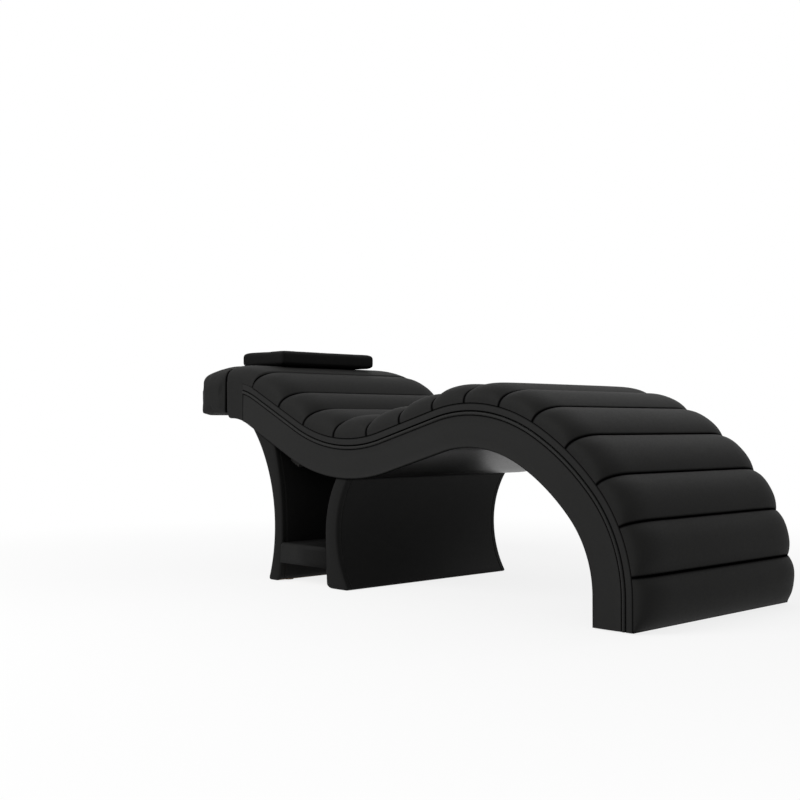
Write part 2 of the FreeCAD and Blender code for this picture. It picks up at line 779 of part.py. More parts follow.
def cleat_screws(side, gap):
    """Screws that run along the line, through a cleat and into its base panel."""
    station = CLEAT_STATIONS[BASE_SIDES.index(side)]
    heading = LINE.spot(station)[2]
    aim = V(side * math.cos(heading), 0, side * math.sin(heading))
    level = (CLEAT_LOW + CLEAT_HIGH) / 2
    screws = []
    for y in spread(CLEAT_SCREW_COUNT, CLEAT_SCREW_SPACING):
        base = LINE.point(station, level, y, -side * CLEAT_SIZE / 2)
        length = CLEAT_SIZE + CLEAT_LIP + SCREW_BITE
        shank = Part.makeCylinder(SCREW_DIAMETER / 2 + gap, length, base, aim)
        head = Part.makeCylinder(SCREW_HEAD / 2, SCREW_HEAD_HEIGHT, base, -aim)
        screws.append(shank.fuse(head).removeSplitter())
    return screws


def shelf_dowels(side, gap):
    z = (BOARD_LOW + BOARD_HIGH) / 2
    x = panel_face_x(side, z)
    ends = sorted((x + side * DOWEL_GRIP, x + side * (DOWEL_GRIP - DOWEL_LENGTH)))
    places = spread(DOWEL_COUNT, DOWEL_SPACING)
    return [rod(DOWEL_DIAMETER + 2 * gap, ends[0] - gap, ends[1] + gap, y, z) for y in places]


def base_glide_places(side):
    """Places under the middle of a base panel's foot."""
    waist, thickness, outer_radii, inner_radii = panel_sizes(side)
    x = (hollow_x(side, waist, outer_radii, FLOOR_GAP) + panel_face_x(side, FLOOR_GAP)) / 2
    return [(x, y) for y in across(GLIDE_COUNT, BASE_HALF, GLIDE_END)]


def foot_glide_places():
    x = LINE.at(LINE.length, (RIB_LOW + RIB_TOP) / 2)[0]
    return [(x, y) for y in across(FOOT_GLIDE_COUNT, INNER_HALF, GLIDE_END)]


def glide_pin(x, y, gap):
    return post(GLIDE_PIN + 2 * gap, x, y, FLOOR_GAP, FLOOR_GAP + GLIDE_PIN_LENGTH + gap)


def glides(places):
    """Nail-on glides: a low disc on the floor and a pin up into the timber."""
    made = []
    for x, y in places:
        disc = post(GLIDE_DIAMETER, x, y, 0.0, FLOOR_GAP)
        made.append(disc.fuse(glide_pin(x, y, 0.0)).removeSplitter())
    return made


def lip_cutter(side):
    """Takes off the thin lip where a panel's outer face runs out under the wave."""
    waist, thickness, outer_radii, inner_radii = panel_sizes(side)
    z = WAIST_HEIGHT
    for step in range(40):
        x = hollow_x(side, waist, outer_radii, z)
        z = (z + LINE.at(LINE.station_at_x(x, -FRAME_DEPTH), -FRAME_DEPTH)[1]) / 2
    ends = sorted((x - side * PANEL_LIP, x + side * BED_WIDTH))
    return block(ends[0], ends[1], BED_WIDTH, 0.0, HEAD_HEIGHT)


def panel_cover(side):
    """Foam and cover round a base panel, with soft upright edges, open at the floor."""
    outer = panel_prism(side, 0.0)
    ends = [edge for edge in outer.Edges if edge.BoundBox.YLength < LAYER_GAP]
    upright = [edge for edge in ends if edge.BoundBox.ZLength > WAIST_HEIGHT / 2]
    outer = outer.makeFillet(PANEL_EDGE_RADIUS, upright)
    hollow = panel_prism(side, PANEL_COVER)
    holes = cleat_screws(side, HOLE_GAP) + shelf_dowels(side, HOLE_GAP)
    return outer.cut([hollow, wave_trimmer(), lip_cutter(side)] + holes)


def panel_core(side):
    core = panel_prism(side, PANEL_COVER + LAYER_GAP)
    holes = cleat_screws(side, HOLE_GAP) + shelf_dowels(side, HOLE_GAP)
    pins = [glide_pin(x, y, HOLE_GAP) for x, y in base_glide_places(side)]
    return core.cut([wave_trimmer()] + holes + pins)


def between_panels(shape):
    """Cuts a piece of the shelf to the curved inner faces of both base panels."""
    return shape.cut([panel_prism(side, -LAYER_GAP) for side in BASE_SIDES])


def shelf_block(half_width, low, high):
    return block(HEAD_PANEL_WAIST, FOOT_PANEL_WAIST, half_width, low, high)


def shelf_cover():
    outer = shelf_block(BASE_HALF, SHELF_LOW, SHELF_TOP)
    inner = shelf_block(BASE_HALF - SHELF_COVER, SHELF_LOW, SHELF_TOP - SHELF_COVER)
    return between_panels(outer.cut(inner))


def shelf_board():
    board = between_panels(shelf_block(BASE_HALF - SHELF_COVER - LAYER_GAP, BOARD_LOW, BOARD_HIGH))
    return board.cut([dowel for side in BASE_SIDES for dowel in shelf_dowels(side, HOLE_GAP)])


def shelf_apron(side):
    outer = BASE_HALF - SHELF_COVER - LAYER_GAP
    apron = shelf_block(outer, SHELF_LOW, BOARD_LOW)
    keep_low = min(side * outer, side * (outer - APRON_THICKNESS))
    keep = Part.makeBox(FOOT_PANEL_WAIST, APRON_THICKNESS, SHELF_TOP, V(HEAD_PANEL_WAIST, keep_low, 0.0))
    return between_panels(apron.common(keep))


def cleat(side):
    """Bar across the base, under the wave and against a base panel."""
    station = CLEAT_STATIONS[BASE_SIDES.index(side)]
    reach = CLEAT_SIZE / 2 + CLEAT_LIP
    ends = sorted((side * reach, -side * CLEAT_SIZE / 2))
    piece = bar(station, ends[0], ends[1], CLEAT_LOW, CLEAT_HIGH, BASE_HALF - CLEAT_END)
    return piece.cut([panel_prism(side, -LAYER_GAP)] + bolt_holes() + cleat_screws(side, HOLE_GAP))


def drilled_rail(station):
    """Rail in the wave over a cleat, bored for the bolts and the tee nuts."""
    barrels = [peg(spot, 0.0, RAIL_HIGH - TEE_BARREL_LENGTH, RAIL_HIGH, y, TEE_BARREL + 2 * HOLE_GAP)
               for spot, y in bolt_places()]
    return mounting_rail(station).cut(bolt_holes() + barrels)


def base_bolts():
    bolts = []
    for station, y in bolt_places():
        under_head = CLEAT_LOW - WASHER_THICKNESS
        shank = peg(station, 0.0, under_head, RAIL_HIGH, y, BOLT_DIAMETER)
        head = peg(station, 0.0, under_head - BOLT_HEAD_HEIGHT, under_head, y, BOLT_HEAD)
        bolts.append(shank.fuse(head).removeSplitter())
    return bolts


def base_washers():
    washers = []
    for station, y in bolt_places():
        low = CLEAT_LOW - WASHER_THICKNESS
        disc = peg(station, 0.0, low, CLEAT_LOW, y, WASHER_DIAMETER)
        washers.append(disc.cut(peg(station, 0.0, low, CLEAT_LOW, y, BOLT_DIAMETER + 2 * HOLE_GAP)))
    return washers


def tee_nuts():
    nuts = []
    for station, y in bolt_places():
        top = RAIL_HIGH + TEE_FLANGE_THICKNESS
        flange = peg(station, 0.0, RAIL_HIGH, top, y, TEE_FLANGE)
        barrel = peg(station, 0.0, RAIL_HIGH - TEE_BARREL_LENGTH, RAIL_HIGH, y, TEE_BARREL)
        bore = peg(station, 0.0, RAIL_HIGH - TEE_BARREL_LENGTH, top, y, BOLT_DIAMETER + 2 * HOLE_GAP)
        nuts.append(flange.fuse(barrel).cut(bore).removeSplitter())
    return nuts


def group(solids):
    return Part.makeCompound(list(solids))


NEAR = -1
FAR = 1
HEAD = -1
FOOT = 1

NODES = {
    "side_rib_near": side_rib(NEAR),
    "side_rib_far": side_rib(FAR),
    "centre_rib": centre_rib(),
    "cross_battens": group(batten(station) for station in batten_stations()),
    "top_deck": top_deck(),
    "lower_deck": lower_deck(),
    "underside_cover": underside_cover(),
    "front_bulkhead": bulkhead(FRAME_START),
    "rear_bulkhead": bulkhead(REAR_START),
    "rod_sockets": rod_sockets(),
    "rod_bushes": rod_bushes(),
    "foot_block": foot_block(),
    "mounting_rails": group(drilled_rail(station) for station in CLEAT_STATIONS),
    "head_wrap": head_wrap(),
    "side_panel_near": side_panel(NEAR),
    "side_panel_far": side_panel(FAR),
    "piping_near": piping(NEAR),
    "piping_far": piping(FAR),
    "border_near": border(NEAR),
    "border_far": border(FAR),
    "pad_foam": pad_foam(),
    "channel_pad": channel_pad(),
    "head_panel_core": panel_core(HEAD),
    "head_panel_cover": panel_cover(HEAD),
    "foot_panel_core": panel_core(FOOT),
    "foot_panel_cover": panel_cover(FOOT),
    "shelf_board": shelf_board(),
    "shelf_aprons": group(shelf_apron(side) for side in (NEAR, FAR)),
    "shelf_cover": shelf_cover(),
    "shelf_dowels": group(dowel for side in BASE_SIDES for dowel in shelf_dowels(side, 0.0)),
    "base_cleats": group(cleat(side) for side in BASE_SIDES),
    "cleat_screws": group(screw for side in BASE_SIDES for screw in cleat_screws(side, 0.0)),
    "base_bolts": group(base_bolts()),
    "base_washers": group(base_washers()),
    "tee_nuts": group(tee_nuts()),
    "base_glides": group(glide for side in BASE_SIDES for glide in glides(base_glide_places(side))),
    "foot_glides": group(glides(foot_glide_places())),
    "headrest_board": headrest_board(),
    "headrest_bar": headrest_bar(),
    "headrest_rods": group(headrest_rods(0.0)),
    "headrest_screws": group(headrest_screws(0.0)),
    "headrest_cushion": headrest_cushion(),
    "head_pillow": head_pillow(),
}

whole = Part.makeCompound(list(NODES.values())).optimalBoundingBox(False, False)
middle = (whole.XMin + whole.XMax) / 2

os.makedirs("parts", exist_ok=True)
for name, shape in NODES.items():
    shape.translate(V(-middle, 0, 0))
    shape.exportStep("parts/" + name + ".step")
    state = "valid" if shape.isValid() else "NOT VALID"
    print(name, len(shape.Solids), "solids", round(shape.Volume / 1000.0, 1), "cm3", state)
print("overall", round(whole.XLength, 1), round(whole.YLength, 1), round(whole.ZLength, 1))
print("head face at x", round(-middle, 2))
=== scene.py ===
# %% [markdown]
# # Curved lash bed
# The bed is one long wave: a plywood frame with a channelled pad on top, plain padded sides below, a
# plug-in headrest, a loose pillow and a waisted base with a shelf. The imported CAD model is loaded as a
# fixed frame. Rigid pieces stay as they are and get a finish; every soft piece is modelled again here.

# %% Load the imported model
import math
from collections import namedtuple

import bmesh
import bpy
from mathutils import Matrix, Vector


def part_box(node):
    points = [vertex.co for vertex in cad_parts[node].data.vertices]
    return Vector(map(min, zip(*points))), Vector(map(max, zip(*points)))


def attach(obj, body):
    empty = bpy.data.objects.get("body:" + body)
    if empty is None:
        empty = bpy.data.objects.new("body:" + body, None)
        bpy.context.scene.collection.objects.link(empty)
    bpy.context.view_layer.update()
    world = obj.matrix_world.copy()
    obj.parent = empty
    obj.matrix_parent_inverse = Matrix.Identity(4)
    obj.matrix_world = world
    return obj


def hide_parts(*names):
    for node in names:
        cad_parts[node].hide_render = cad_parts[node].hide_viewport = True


for spare in ("Cube", "Camera", "Light"):
    if spare in bpy.data.objects:
        bpy.data.objects.remove(bpy.data.objects[spare])

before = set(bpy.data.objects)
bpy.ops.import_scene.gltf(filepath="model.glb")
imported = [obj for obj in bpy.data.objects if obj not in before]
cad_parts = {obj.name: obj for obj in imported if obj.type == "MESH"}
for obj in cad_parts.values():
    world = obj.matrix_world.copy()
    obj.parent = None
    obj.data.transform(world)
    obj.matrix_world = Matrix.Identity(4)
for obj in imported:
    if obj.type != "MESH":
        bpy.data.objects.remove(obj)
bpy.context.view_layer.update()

# %% [markdown]
# ## The wave line
# On the real bed every soft piece follows the bent top of the frame. That line is a chain of straight
# runs and arcs that meet tangentially, so a short class can walk along it. A piece is then modelled
# flat, as on a cutting table, with the station along the bed as x, the place across as y and the rise
# above the line as z, and laid on the wave at the end. A Curve modifier could bend it too, but the
# walk keeps every seam at a known station.

# %% Describe a wave
HALVINGS = 40


class Wave:
    """Runs and bends in the XZ plane; a station is the length walked from the head face."""

    def __init__(self, x, z):
        self.legs = []
        self.length, self.x, self.z, self.heading = 0.0, x, z, 0.0

    def go(self, length, curl=0.0):
        self.legs.append((self.length, self.x, self.z, self.heading, curl))
        self.length += length
        self.x, self.z, self.heading = self.spot(self.length)

    def bend(self, radius, degrees):
        self.go(radius * math.radians(abs(degrees)), math.copysign(1 / radius, degrees))

    def spot(self, station):
        start, x, z, heading, curl = [leg for leg in self.legs if leg[0] <= max(station, 0.0)][-1]
        walked = station - start
        if curl == 0.0:
            return x + walked * math.cos(heading), z + walked * math.sin(heading), heading
        turned = heading + curl * walked
        x += (math.sin(turned) - math.sin(heading)) / curl
        z -= (math.cos(turned) - math.cos(heading)) / curl
        return x, z, turned

    def point(self, station, across, rise):
        x, z, heading = self.spot(station)
        return Vector((x - rise * math.sin(heading), across, z + rise * math.cos(heading)))

    def station_at(self, x, rise):
        """Station whose point at that rise stands at x."""
        low, high = 0.0, self.length
        for halving in range(HALVINGS):
            middle = (low + high) / 2
            if self.point(middle, 0.0, rise).x < x:
                low = middle
            else:
                high = middle
        return low


# %% Walk along the wave
# Lengths are in metres; a bend is its radius and the degrees that it turns.
HEAD_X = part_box("head_wrap")[0].x
HALF_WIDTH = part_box("side_panel_far")[1].y
HEAD_HEIGHT = 0.610
HEAD_RUN = 0.022
HEAD_BEND = (0.315, -25.4)
BACK_RUN = 0.230
DIP_BEND = (0.556, 41.0)
THIGH_RUN = 0.230
THIGH_SLOPE = math.radians(HEAD_BEND[1] + DIP_BEND[1])
LEG_BENDS = ((0.468, -44.0), (0.676, -19.7), (0.373, -41.9))
FLOOR_GAP = 0.003

WAVE = Wave(HEAD_X, HEAD_HEIGHT)
WAVE.go(HEAD_RUN)
WAVE.bend(*HEAD_BEND)
WAVE.go(BACK_RUN)
WAVE.bend(*DIP_BEND)
DIP_STATION = WAVE.length - DIP_BEND[0] * THIGH_SLOPE
WAVE.go(THIGH_RUN)
CREST_STATION = WAVE.length + LEG_BENDS[0][0] * THIGH_SLOPE
for radius, degrees in LEG_BENDS:
    WAVE.bend(radius, degrees)
SHIN_STATION = (WAVE.legs[-2][0] + WAVE.legs[-1][0]) / 2
WAVE.go(WAVE.z - FLOOR_GAP)
print("wave length", round(WAVE.length, 4), "ends at", round(WAVE.x, 4), round(WAVE.z, 4))

# %% [markdown]
# ## Finishes
# The bed is covered in black synthetic leather with a fine pebble grain. A picture could give the grain, but
# a Voronoi pattern on Object coordinates needs no unwrapping and keeps its true size. A slow noise makes the
# cover a little uneven, and a mesh attribute paints shade: it takes colour and shine away in the sewn creases
# of the pad, in the grooves along the rims of the side strips, in the gap between the headrest and the head
# wrap and along the tops of the base panels. One function makes it for each cover, with its own tone and
# gloss: the plain sides are a touch paler than the rolls, painted light so that they come out as bright; the
# base is darker than the wave and the tight underside is the darkest, painted shade for the shadow under the
# wave; the underside is also the smoothest, and the loose pillow is dull.


# %% Helpers for materials
def add_node(tree, kind, links=None, **values):
    """Adds a shader node; links maps an input to an output, values set properties or input defaults."""
    node = tree.nodes.new(kind)
    for name, value in values.items():
        if name in node.inputs:
            node.inputs[name].default_value = value
        else:
            setattr(node, name, value)
    for name, output in (links or {}).items():
        tree.links.new(output, node.inputs[name])
    return node


def new_finish(name, **shader_values):
    """A material with its tree, its shader and its Object coordinates."""
    finish = bpy.data.materials.new(name)
    finish.use_nodes = True
    tree = finish.node_tree
    shader = tree.nodes["Principled BSDF"]
    for socket, value in shader_values.items():
        shader.inputs[socket.replace("_", " ")].default_value = value
    coords = add_node(tree, "ShaderNodeTexCoord").outputs["Object"]
    return finish, tree, shader, coords


def add_noise(tree, coords, scale, detail, distortion=0.0):
    values = {"Scale": scale, "Detail": detail, "Distortion": distortion}
    return add_node(tree, "ShaderNodeTexNoise", {"Vector": coords}, **values).outputs["Fac"]


def add_bump(tree, height, strength, distance, below=None):
    """Bumps a surface by a texture value, on top of another bump if there is one."""
    links = {"Height": height}
    if below is not None:
        links["Normal"] = below
    return add_node(tree, "ShaderNodeBump", links, Strength=strength, Distance=distance).outputs["Normal"]


def mix_colours(tree, share, first, second):
    """Mixes two plain colours by a texture value."""
    mix = add_node(tree, "ShaderNodeMix", {"Factor": share}, data_type="RGBA")
    mix.inputs["A"].default_value = (*first, 1.0)
    mix.inputs["B"].default_value = (*second, 1.0)
    return mix


def spread_between(tree, source, low, high):
    """Maps a texture value to a range."""
    node = add_node(tree, "ShaderNodeMapRange", {"Value": source}, **{"To Min": low, "To Max": high})
    return node.outputs["Result"]


# %% Make the covers
PEBBLE_SCALE = 480.0
CREASE_SCALE = 150.0
SLACK_SCALE = 9.0
PATCH_SCALE = 3.0
PATCH_SHADE = 0.75
# near-black colour of the painted shade in creases, grooves and gaps
PAINTED_SHADE_TONE = (0.001, 0.001, 0.001)
ROUGHNESS_SPREAD = 0.07


def leatherette(name, tone, roughness, shine=0.1):
    finish, tree, shader, coords = new_finish(name)
    grain = add_node(tree, "ShaderNodeTexVoronoi", {"Vector": coords}, Scale=PEBBLE_SCALE, Randomness=0.9)
    crease = add_noise(tree, coords, CREASE_SCALE, detail=4.0)
    slack = add_noise(tree, coords, SLACK_SCALE, detail=2.0)
    patch = add_noise(tree, coords, PATCH_SCALE, detail=3.0)
    seam = add_node(tree, "ShaderNodeAttribute", attribute_name="seam").outputs["Fac"]
    plain = mix_colours(tree, patch, [channel * PATCH_SHADE for channel in tone], tone)
    # painted shade: where the mesh attribute is set, the colour goes near black and the shine goes away
    sewn = mix_colours(tree, seam, tone, PAINTED_SHADE_TONE)
    tree.links.new(plain.outputs["Result"], sewn.inputs["A"])
    tree.links.new(sewn.outputs["Result"], shader.inputs["Base Color"])
    tree.links.new(spread_between(tree, seam, shine, 0.0), shader.inputs["Specular IOR Level"])
    rough = spread_between(tree, crease, roughness - ROUGHNESS_SPREAD, roughness + ROUGHNESS_SPREAD)
    tree.links.new(rough, shader.inputs["Roughness"])
    uneven = add_bump(tree, slack, strength=0.25, distance=0.004)
    creased = add_bump(tree, crease, strength=0.12, distance=0.0008, below=uneven)
    pebbled = add_bump(tree, grain.outputs["Distance"], strength=0.3, distance=0.0004, below=creased)
    tree.links.new(pebbled, shader.inputs["Normal"])
    return finish


# Painted light and shade in the tones: the plain cover of the upright sides is a touch paler than the quilted
# one, so that the sides come out as bright as the rolls, and the base and underside covers are darker,
# painted shade for the shadow under the wave.
FINISHES = {
    "quilted_cover": leatherette("quilted_leatherette", (0.011, 0.011, 0.0106), 0.70),
    "plain_cover": leatherette("plain_leatherette_painted_paler", (0.015, 0.015, 0.0146), 0.68),
    "base_cover": leatherette("base_leatherette_in_painted_shade", (0.006, 0.006, 0.0058), 0.68),
    "under_cover": leatherette("underside_leatherette_in_painted_shade", (0.003, 0.003, 0.0029), 0.34),
    "pillow_cover": leatherette("pillow_leatherette", (0.005, 0.005, 0.0048), 0.70, shine=0.06),
    "welt": leatherette("welt_leatherette", (0.018, 0.018, 0.0175), 0.60),
}
print("covers", sorted(FINISHES))

# %% [markdown]
# ## Laying out soft pieces
# Most covers start as a box of real size. Bevels round the edges the way foam under a tight cover does,
# cuts along the length let the piece bend, and the wave then gives it its shape. The helpers below keep
# those steps short.

# %% Helpers that shape a mesh
TINY = 1e-6
WELD = 1e-5
LONG = 0.5
X, Y, Z = 0, 1, 2
TURN_TO_X = Matrix.Rotation(math.pi / 2, 4, "Y")


def box_mesh(low, high):
    """A bmesh box between two corners."""
    bm = bmesh.new()
    bmesh.ops.create_cube(bm, size=1.0)
    size = Vector(high) - Vector(low)
    bmesh.ops.scale(bm, vec=size, verts=bm.verts)
    bmesh.ops.translate(bm, vec=(Vector(low) + Vector(high)) / 2, verts=bm.verts)
    return bm


def edges_along(bm, axis, longer_than=LONG):
    """Edges that run along one axis and are longer than a length."""
    return [edge for edge in bm.edges if abs(edge.verts[0].co[axis] - edge.verts[1].co[axis]) > longer_than]


def sharp_edges(bm, degrees):
    return [edge for edge in bm.edges if edge.calc_face_angle(0.0) > math.radians(degrees)]


def round_edges(bm, edges, offset, segments):
    bmesh.ops.bevel(bm, geom=edges, offset=offset, affect="EDGES", segments=segments, profile=0.5,
                    material=-1)


def cut_across(bm, axis, place):
    """Cuts a whole mesh at a place along one axis and returns the new edges."""
    normal = Vector((0.0, 0.0, 0.0))
    normal[axis] = 1.0
    whole = bm.verts[:] + bm.edges[:] + bm.faces[:]
    cut = bmesh.ops.bisect_plane(bm, geom=whole, plane_co=normal * place, plane_no=normal)
    return [item for item in cut["geom_cut"] if isinstance(item, bmesh.types.BMEdge)]


def edge_shade(distance, width):
    """Painted shade near an edge beside a gap: full over half a width, fading out over the other half."""
    return min(1.0, max(0.0, 2.0 - 2.0 * distance / width))


def lay_on_wave(bm):
    """Turns station, across and rise into x, y and z."""
    for vert in bm.verts:
        vert.co = WAVE.point(*vert.co)


# %% Helpers that make a piece
SHARP_ANGLE = 50


def make_piece(name, bm, slot, body, *nodes, finish=None):
    """Turns a bmesh into a smooth piece of its own that stands for CAD nodes and rides on a body."""
    bmesh.ops.remove_doubles(bm, verts=bm.verts, dist=WELD)
    bmesh.ops.recalc_face_normals(bm, faces=bm.faces)
    mesh = bpy.data.meshes.new(name)
    bm.to_mesh(mesh)
    bm.free()
    mesh.shade_smooth()
    mesh.set_sharp_from_angle(angle=math.radians(SHARP_ANGLE))
    mesh.materials.append(FINISHES[finish or slot])
    piece = bpy.data.objects.new(name, mesh)
    bpy.context.scene.collection.objects.link(piece)
    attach(piece, body)
    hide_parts(*nodes)
    print(name, len(mesh.polygons), "faces")
    return piece


def soften(piece, levels=1):
    """One more subdivision, the same in the view and in the render."""
    modifier = piece.modifiers.new("Soften", "SUBSURF")
    modifier.levels = levels
    modifier.render_levels = levels


def thicken(piece, thickness):
    """Gives an open cover a wall that grows inwards."""
    wall = piece.modifiers.new("Cover", "SOLIDIFY")
    wall.thickness = thickness
    wall.offset = -1.0


# %% [markdown]
# ## Puffing up with a cloth simulation
# Stuffed covers bulge because the filling pushes evenly from inside. Blender's Cloth does the same with
# its pressure setting: gravity is off, the sewn lines are pinned, and twenty frames are enough. Each
# point is then kept within a cap of where it started, so that the piece stays in its own space.

# %% Puff a piece
PUFF_FRAMES = 20
PUFF_PRESSURE = 4.0
PUFF_QUALITY = 5


def puff(piece, cap, pins=""):
    """Swells a piece by pressure; no point moves further than the cap."""
    start = [vert.co.copy() for vert in piece.data.vertices]
    cloth = piece.modifiers.new("Stuffing", "CLOTH")
    cloth.settings.quality = PUFF_QUALITY
    cloth.settings.use_pressure = True
    cloth.settings.uniform_pressure_force = PUFF_PRESSURE
    cloth.settings.effector_weights.gravity = 0.0
    cloth.settings.vertex_group_mass = pins
    cloth.point_cache.frame_end = PUFF_FRAMES
    scene = bpy.context.scene
    for number in range(1, PUFF_FRAMES + 1):
        scene.frame_set(number)
    shown = piece.evaluated_get(bpy.context.evaluated_depsgraph_get())
    moves = [new.co - old for new, old in zip(shown.data.vertices, start)]
    piece.modifiers.remove(cloth)
    for vert, old, move in zip(piece.data.vertices, start, moves):
        vert.co = old + move * min(1.0, cap / max(move.length, TINY))
    scene.frame_set(1)
    longest = max(move.length for move in moves)
    print(piece.name, "swelled up to", round(1000 * longest, 1), "mm before the cap")


# %% [markdown]
# ## Channelled pad
# The top is sewn across into fourteen rolls that are about equally long over their crowns; the first, at
# the head, is the longest. It is fullest at the head and in the dip, flattest over the crest, thins out
# towards the foot, tucks its last roll in at the floor and rounds down to the border over a broad
# shoulder on each side. An array of one roll couldn't change along the way, so a grid is drawn flat with
# rows that crowd together at the seams, raised into rolls, puffed up by the cloth with its seams pinned,
# pulled down along the seams, closed underneath and laid on the wave.

# %% Place the seams
# A stop is a station and the height of the seams there.
FRAME_DEPTH = 0.093
BORDER_HEIGHT = 0.028
PAD_GAP = 0.0004
PAD_LIP = 0.0015
PAD_LOW = BORDER_HEIGHT + PAD_GAP
PAD_EDGE = PAD_LOW + PAD_LIP
PAD_SEAM = 0.133
BACK_STATION = 0.320
SEAM_STOPS = ((PAD_SEAM, 0.082), (BACK_STATION, 0.076), (DIP_STATION, 0.082), (CREST_STATION, 0.073),
              (SHIN_STATION, 0.070), (WAVE.length, 0.049))
SEAM_SHIFTS = (0.0, 0.022, 0.020, 0.010)
SEAM_STEPS = 40
ROLL_COUNT = 14
ROLL_CROWN = 0.016


def between(stops, station):
    """Value at a station, on straight lines between the stops."""
    for (low, low_value), (high, high_value) in zip(stops, stops[1:]):
        if station <= high:
            return low_value + (high_value - low_value) * (station - low) / (high - low)
    return stops[-1][1]


def roll_seams():
    """Stations of the seams: the rolls are equally long over their crowns, but for the shifts at the back."""
    steps = SEAM_STEPS * ROLL_COUNT
    stations = [PAD_SEAM + (WAVE.length - PAD_SEAM) * step / steps for step in range(steps + 1)]
    places = [WAVE.point(station, 0.0, between(SEAM_STOPS, station) + ROLL_CROWN) for station in stations]
    walked = [0.0]
    for first, second in zip(places, places[1:]):
        walked.append(walked[-1] + (second - first).length)
    seams = [next(station for station, length in zip(stations, walked)
                  if length >= walked[-1] * roll / ROLL_COUNT - TINY) for roll in range(ROLL_COUNT + 1)]
    for roll, shift in enumerate(SEAM_SHIFTS):
        seams[roll] += shift
    return seams


SEAMS = roll_seams()
print("seams at", [round(station, 3) for station in SEAMS])

# %% Shape the rolls
# A stop is a station and the height of the crown over the seams there.
CROWN_STOPS = ((PAD_SEAM, 0.018), (BACK_STATION, 0.022), (DIP_STATION, 0.020), (CREST_STATION, 0.013),
               (SHIN_STATION, 0.018), (WAVE.length, 0.018))
SHOULDER_WIDTH = 0.110
SHOULDER_FULLNESS = 2.7
SEAM_SHOULDER = 2.2
ROLL_ROWS = 14
ROWS_ACROSS = 56
FOOT_ROLL_CROWN = 0.033
ROLL_FULLNESS = 2.7
FOOT_ROLL_FULLNESS = 3.1
STUFFING_SHARE = 0.9


def shoulder(across, fullness=SHOULDER_FULLNESS):
    """Share of the full height at a place across the bed."""
    inset = min(max(HALF_WIDTH - abs(across), 0.0), SHOULDER_WIDTH)
    return (1 - (1 - inset / SHOULDER_WIDTH) ** fullness) ** (1 / fullness)


def pad_place(row, column):
    """Roll, share of the roll, station and place across of a grid point; lines crowd at the sewn edges."""
    roll = min(row // ROLL_ROWS, ROLL_COUNT - 1)
    share = (1 - math.cos(math.pi * (row - roll * ROLL_ROWS) / ROLL_ROWS)) / 2
    station = SEAMS[roll] + (SEAMS[roll + 1] - SEAMS[roll]) * share
    return roll, share, station, -HALF_WIDTH * math.cos(math.pi * column / ROWS_ACROSS)


def pad_height(roll, share, station, across):
    """Rise of the cover: straight from seam to seam, plus the crown of the roll."""
    last = roll == ROLL_COUNT - 1
    start = between(SEAM_STOPS, SEAMS[roll])
    end = PAD_EDGE if last else between(SEAM_STOPS, SEAMS[roll + 1])
    crown = FOOT_ROLL_CROWN if last else between(CROWN_STOPS, station)
    fullness = FOOT_ROLL_FULLNESS if last else ROLL_FULLNESS
    from_middle = abs(2 * share - 1)
    bulge = crown * STUFFING_SHARE * (1 - from_middle ** fullness)
    drop = SHOULDER_FULLNESS + (SEAM_SHOULDER - SHOULDER_FULLNESS) * from_middle ** 3
    return PAD_EDGE + (start + (end - start) * share + bulge - PAD_EDGE) * shoulder(across, drop)


# %% Draw the pad and puff it up
# The painted crease shade is a touch lighter on the rows beside a seam than on the seam itself, which is
# found again by its value.
SEAM_SHADE = (1.0, 0.99)
PAD_CAP = 0.006


def pad_sheet(raised):
    """Flat grid of the pad, raised into rolls or left flat for the underside."""
    rows = ROLL_COUNT * ROLL_ROWS
    half = 0.5
    bm = bmesh.new()
    bmesh.ops.create_grid(bm, x_segments=rows, y_segments=ROWS_ACROSS, size=half)
    seam = bm.verts.layers.float.new("seam")
    group = bm.verts.layers.deform.verify()
    for vert in bm.verts:
        row = round((vert.co.x + half) * rows)
        column = round((vert.co.y + half) * ROWS_ACROSS)
        roll, share, station, across = pad_place(row, column)
        vert.co = (station, across, pad_height(roll, share, station, across) if raised else PAD_LOW)
        from_seam = min(row % ROLL_ROWS, -row % ROLL_ROWS)
        # painted shade in the crease along each seam row
        vert[seam] = SEAM_SHADE[from_seam] if from_seam < len(SEAM_SHADE) else 0.0
        vert[group][0] = 1.0 if from_seam == 0 or column in (0, ROWS_ACROSS) else 0.0
    return bm


channel_pad = make_piece("channel_pad", pad_sheet(raised=True), "quilted_cover", "bed", "channel_pad")
channel_pad.vertex_groups.new(name="sewn")
puff(channel_pad, PAD_CAP, pins="sewn")

# %% Pull the seams, close the pad and lay it on the wave
SEAM_PULL = 0.004


def close_pad(piece):
    """Pulls the seams down, adds the flat underside and bends the whole pad."""
    bm = bmesh.new()
    bm.from_mesh(piece.data)
    seam = bm.verts.layers.float["seam"]
    for vert in bm.verts:
        if vert[seam] == SEAM_SHADE[0]:
            vert.co.z -= SEAM_PULL * shoulder(vert.co.y)
    underside = bpy.data.meshes.new("pad_underside")
    low = pad_sheet(raised=False)
    low.to_mesh(underside)
    low.free()
    bm.from_mesh(underside)
    bpy.data.meshes.remove(underside)
    bmesh.ops.bridge_loops(bm, edges=[edge for edge in bm.edges if edge.is_boundary])
    lay_on_wave(bm)
    bmesh.ops.recalc_face_normals(bm, faces=bm.faces)
    bm.to_mesh(piece.data)
    bm.free()
    piece.data.shade_smooth()


close_pad(channel_pad)
soften(channel_pad)
print("pad closed with", len(channel_pad.data.polygons), "faces")

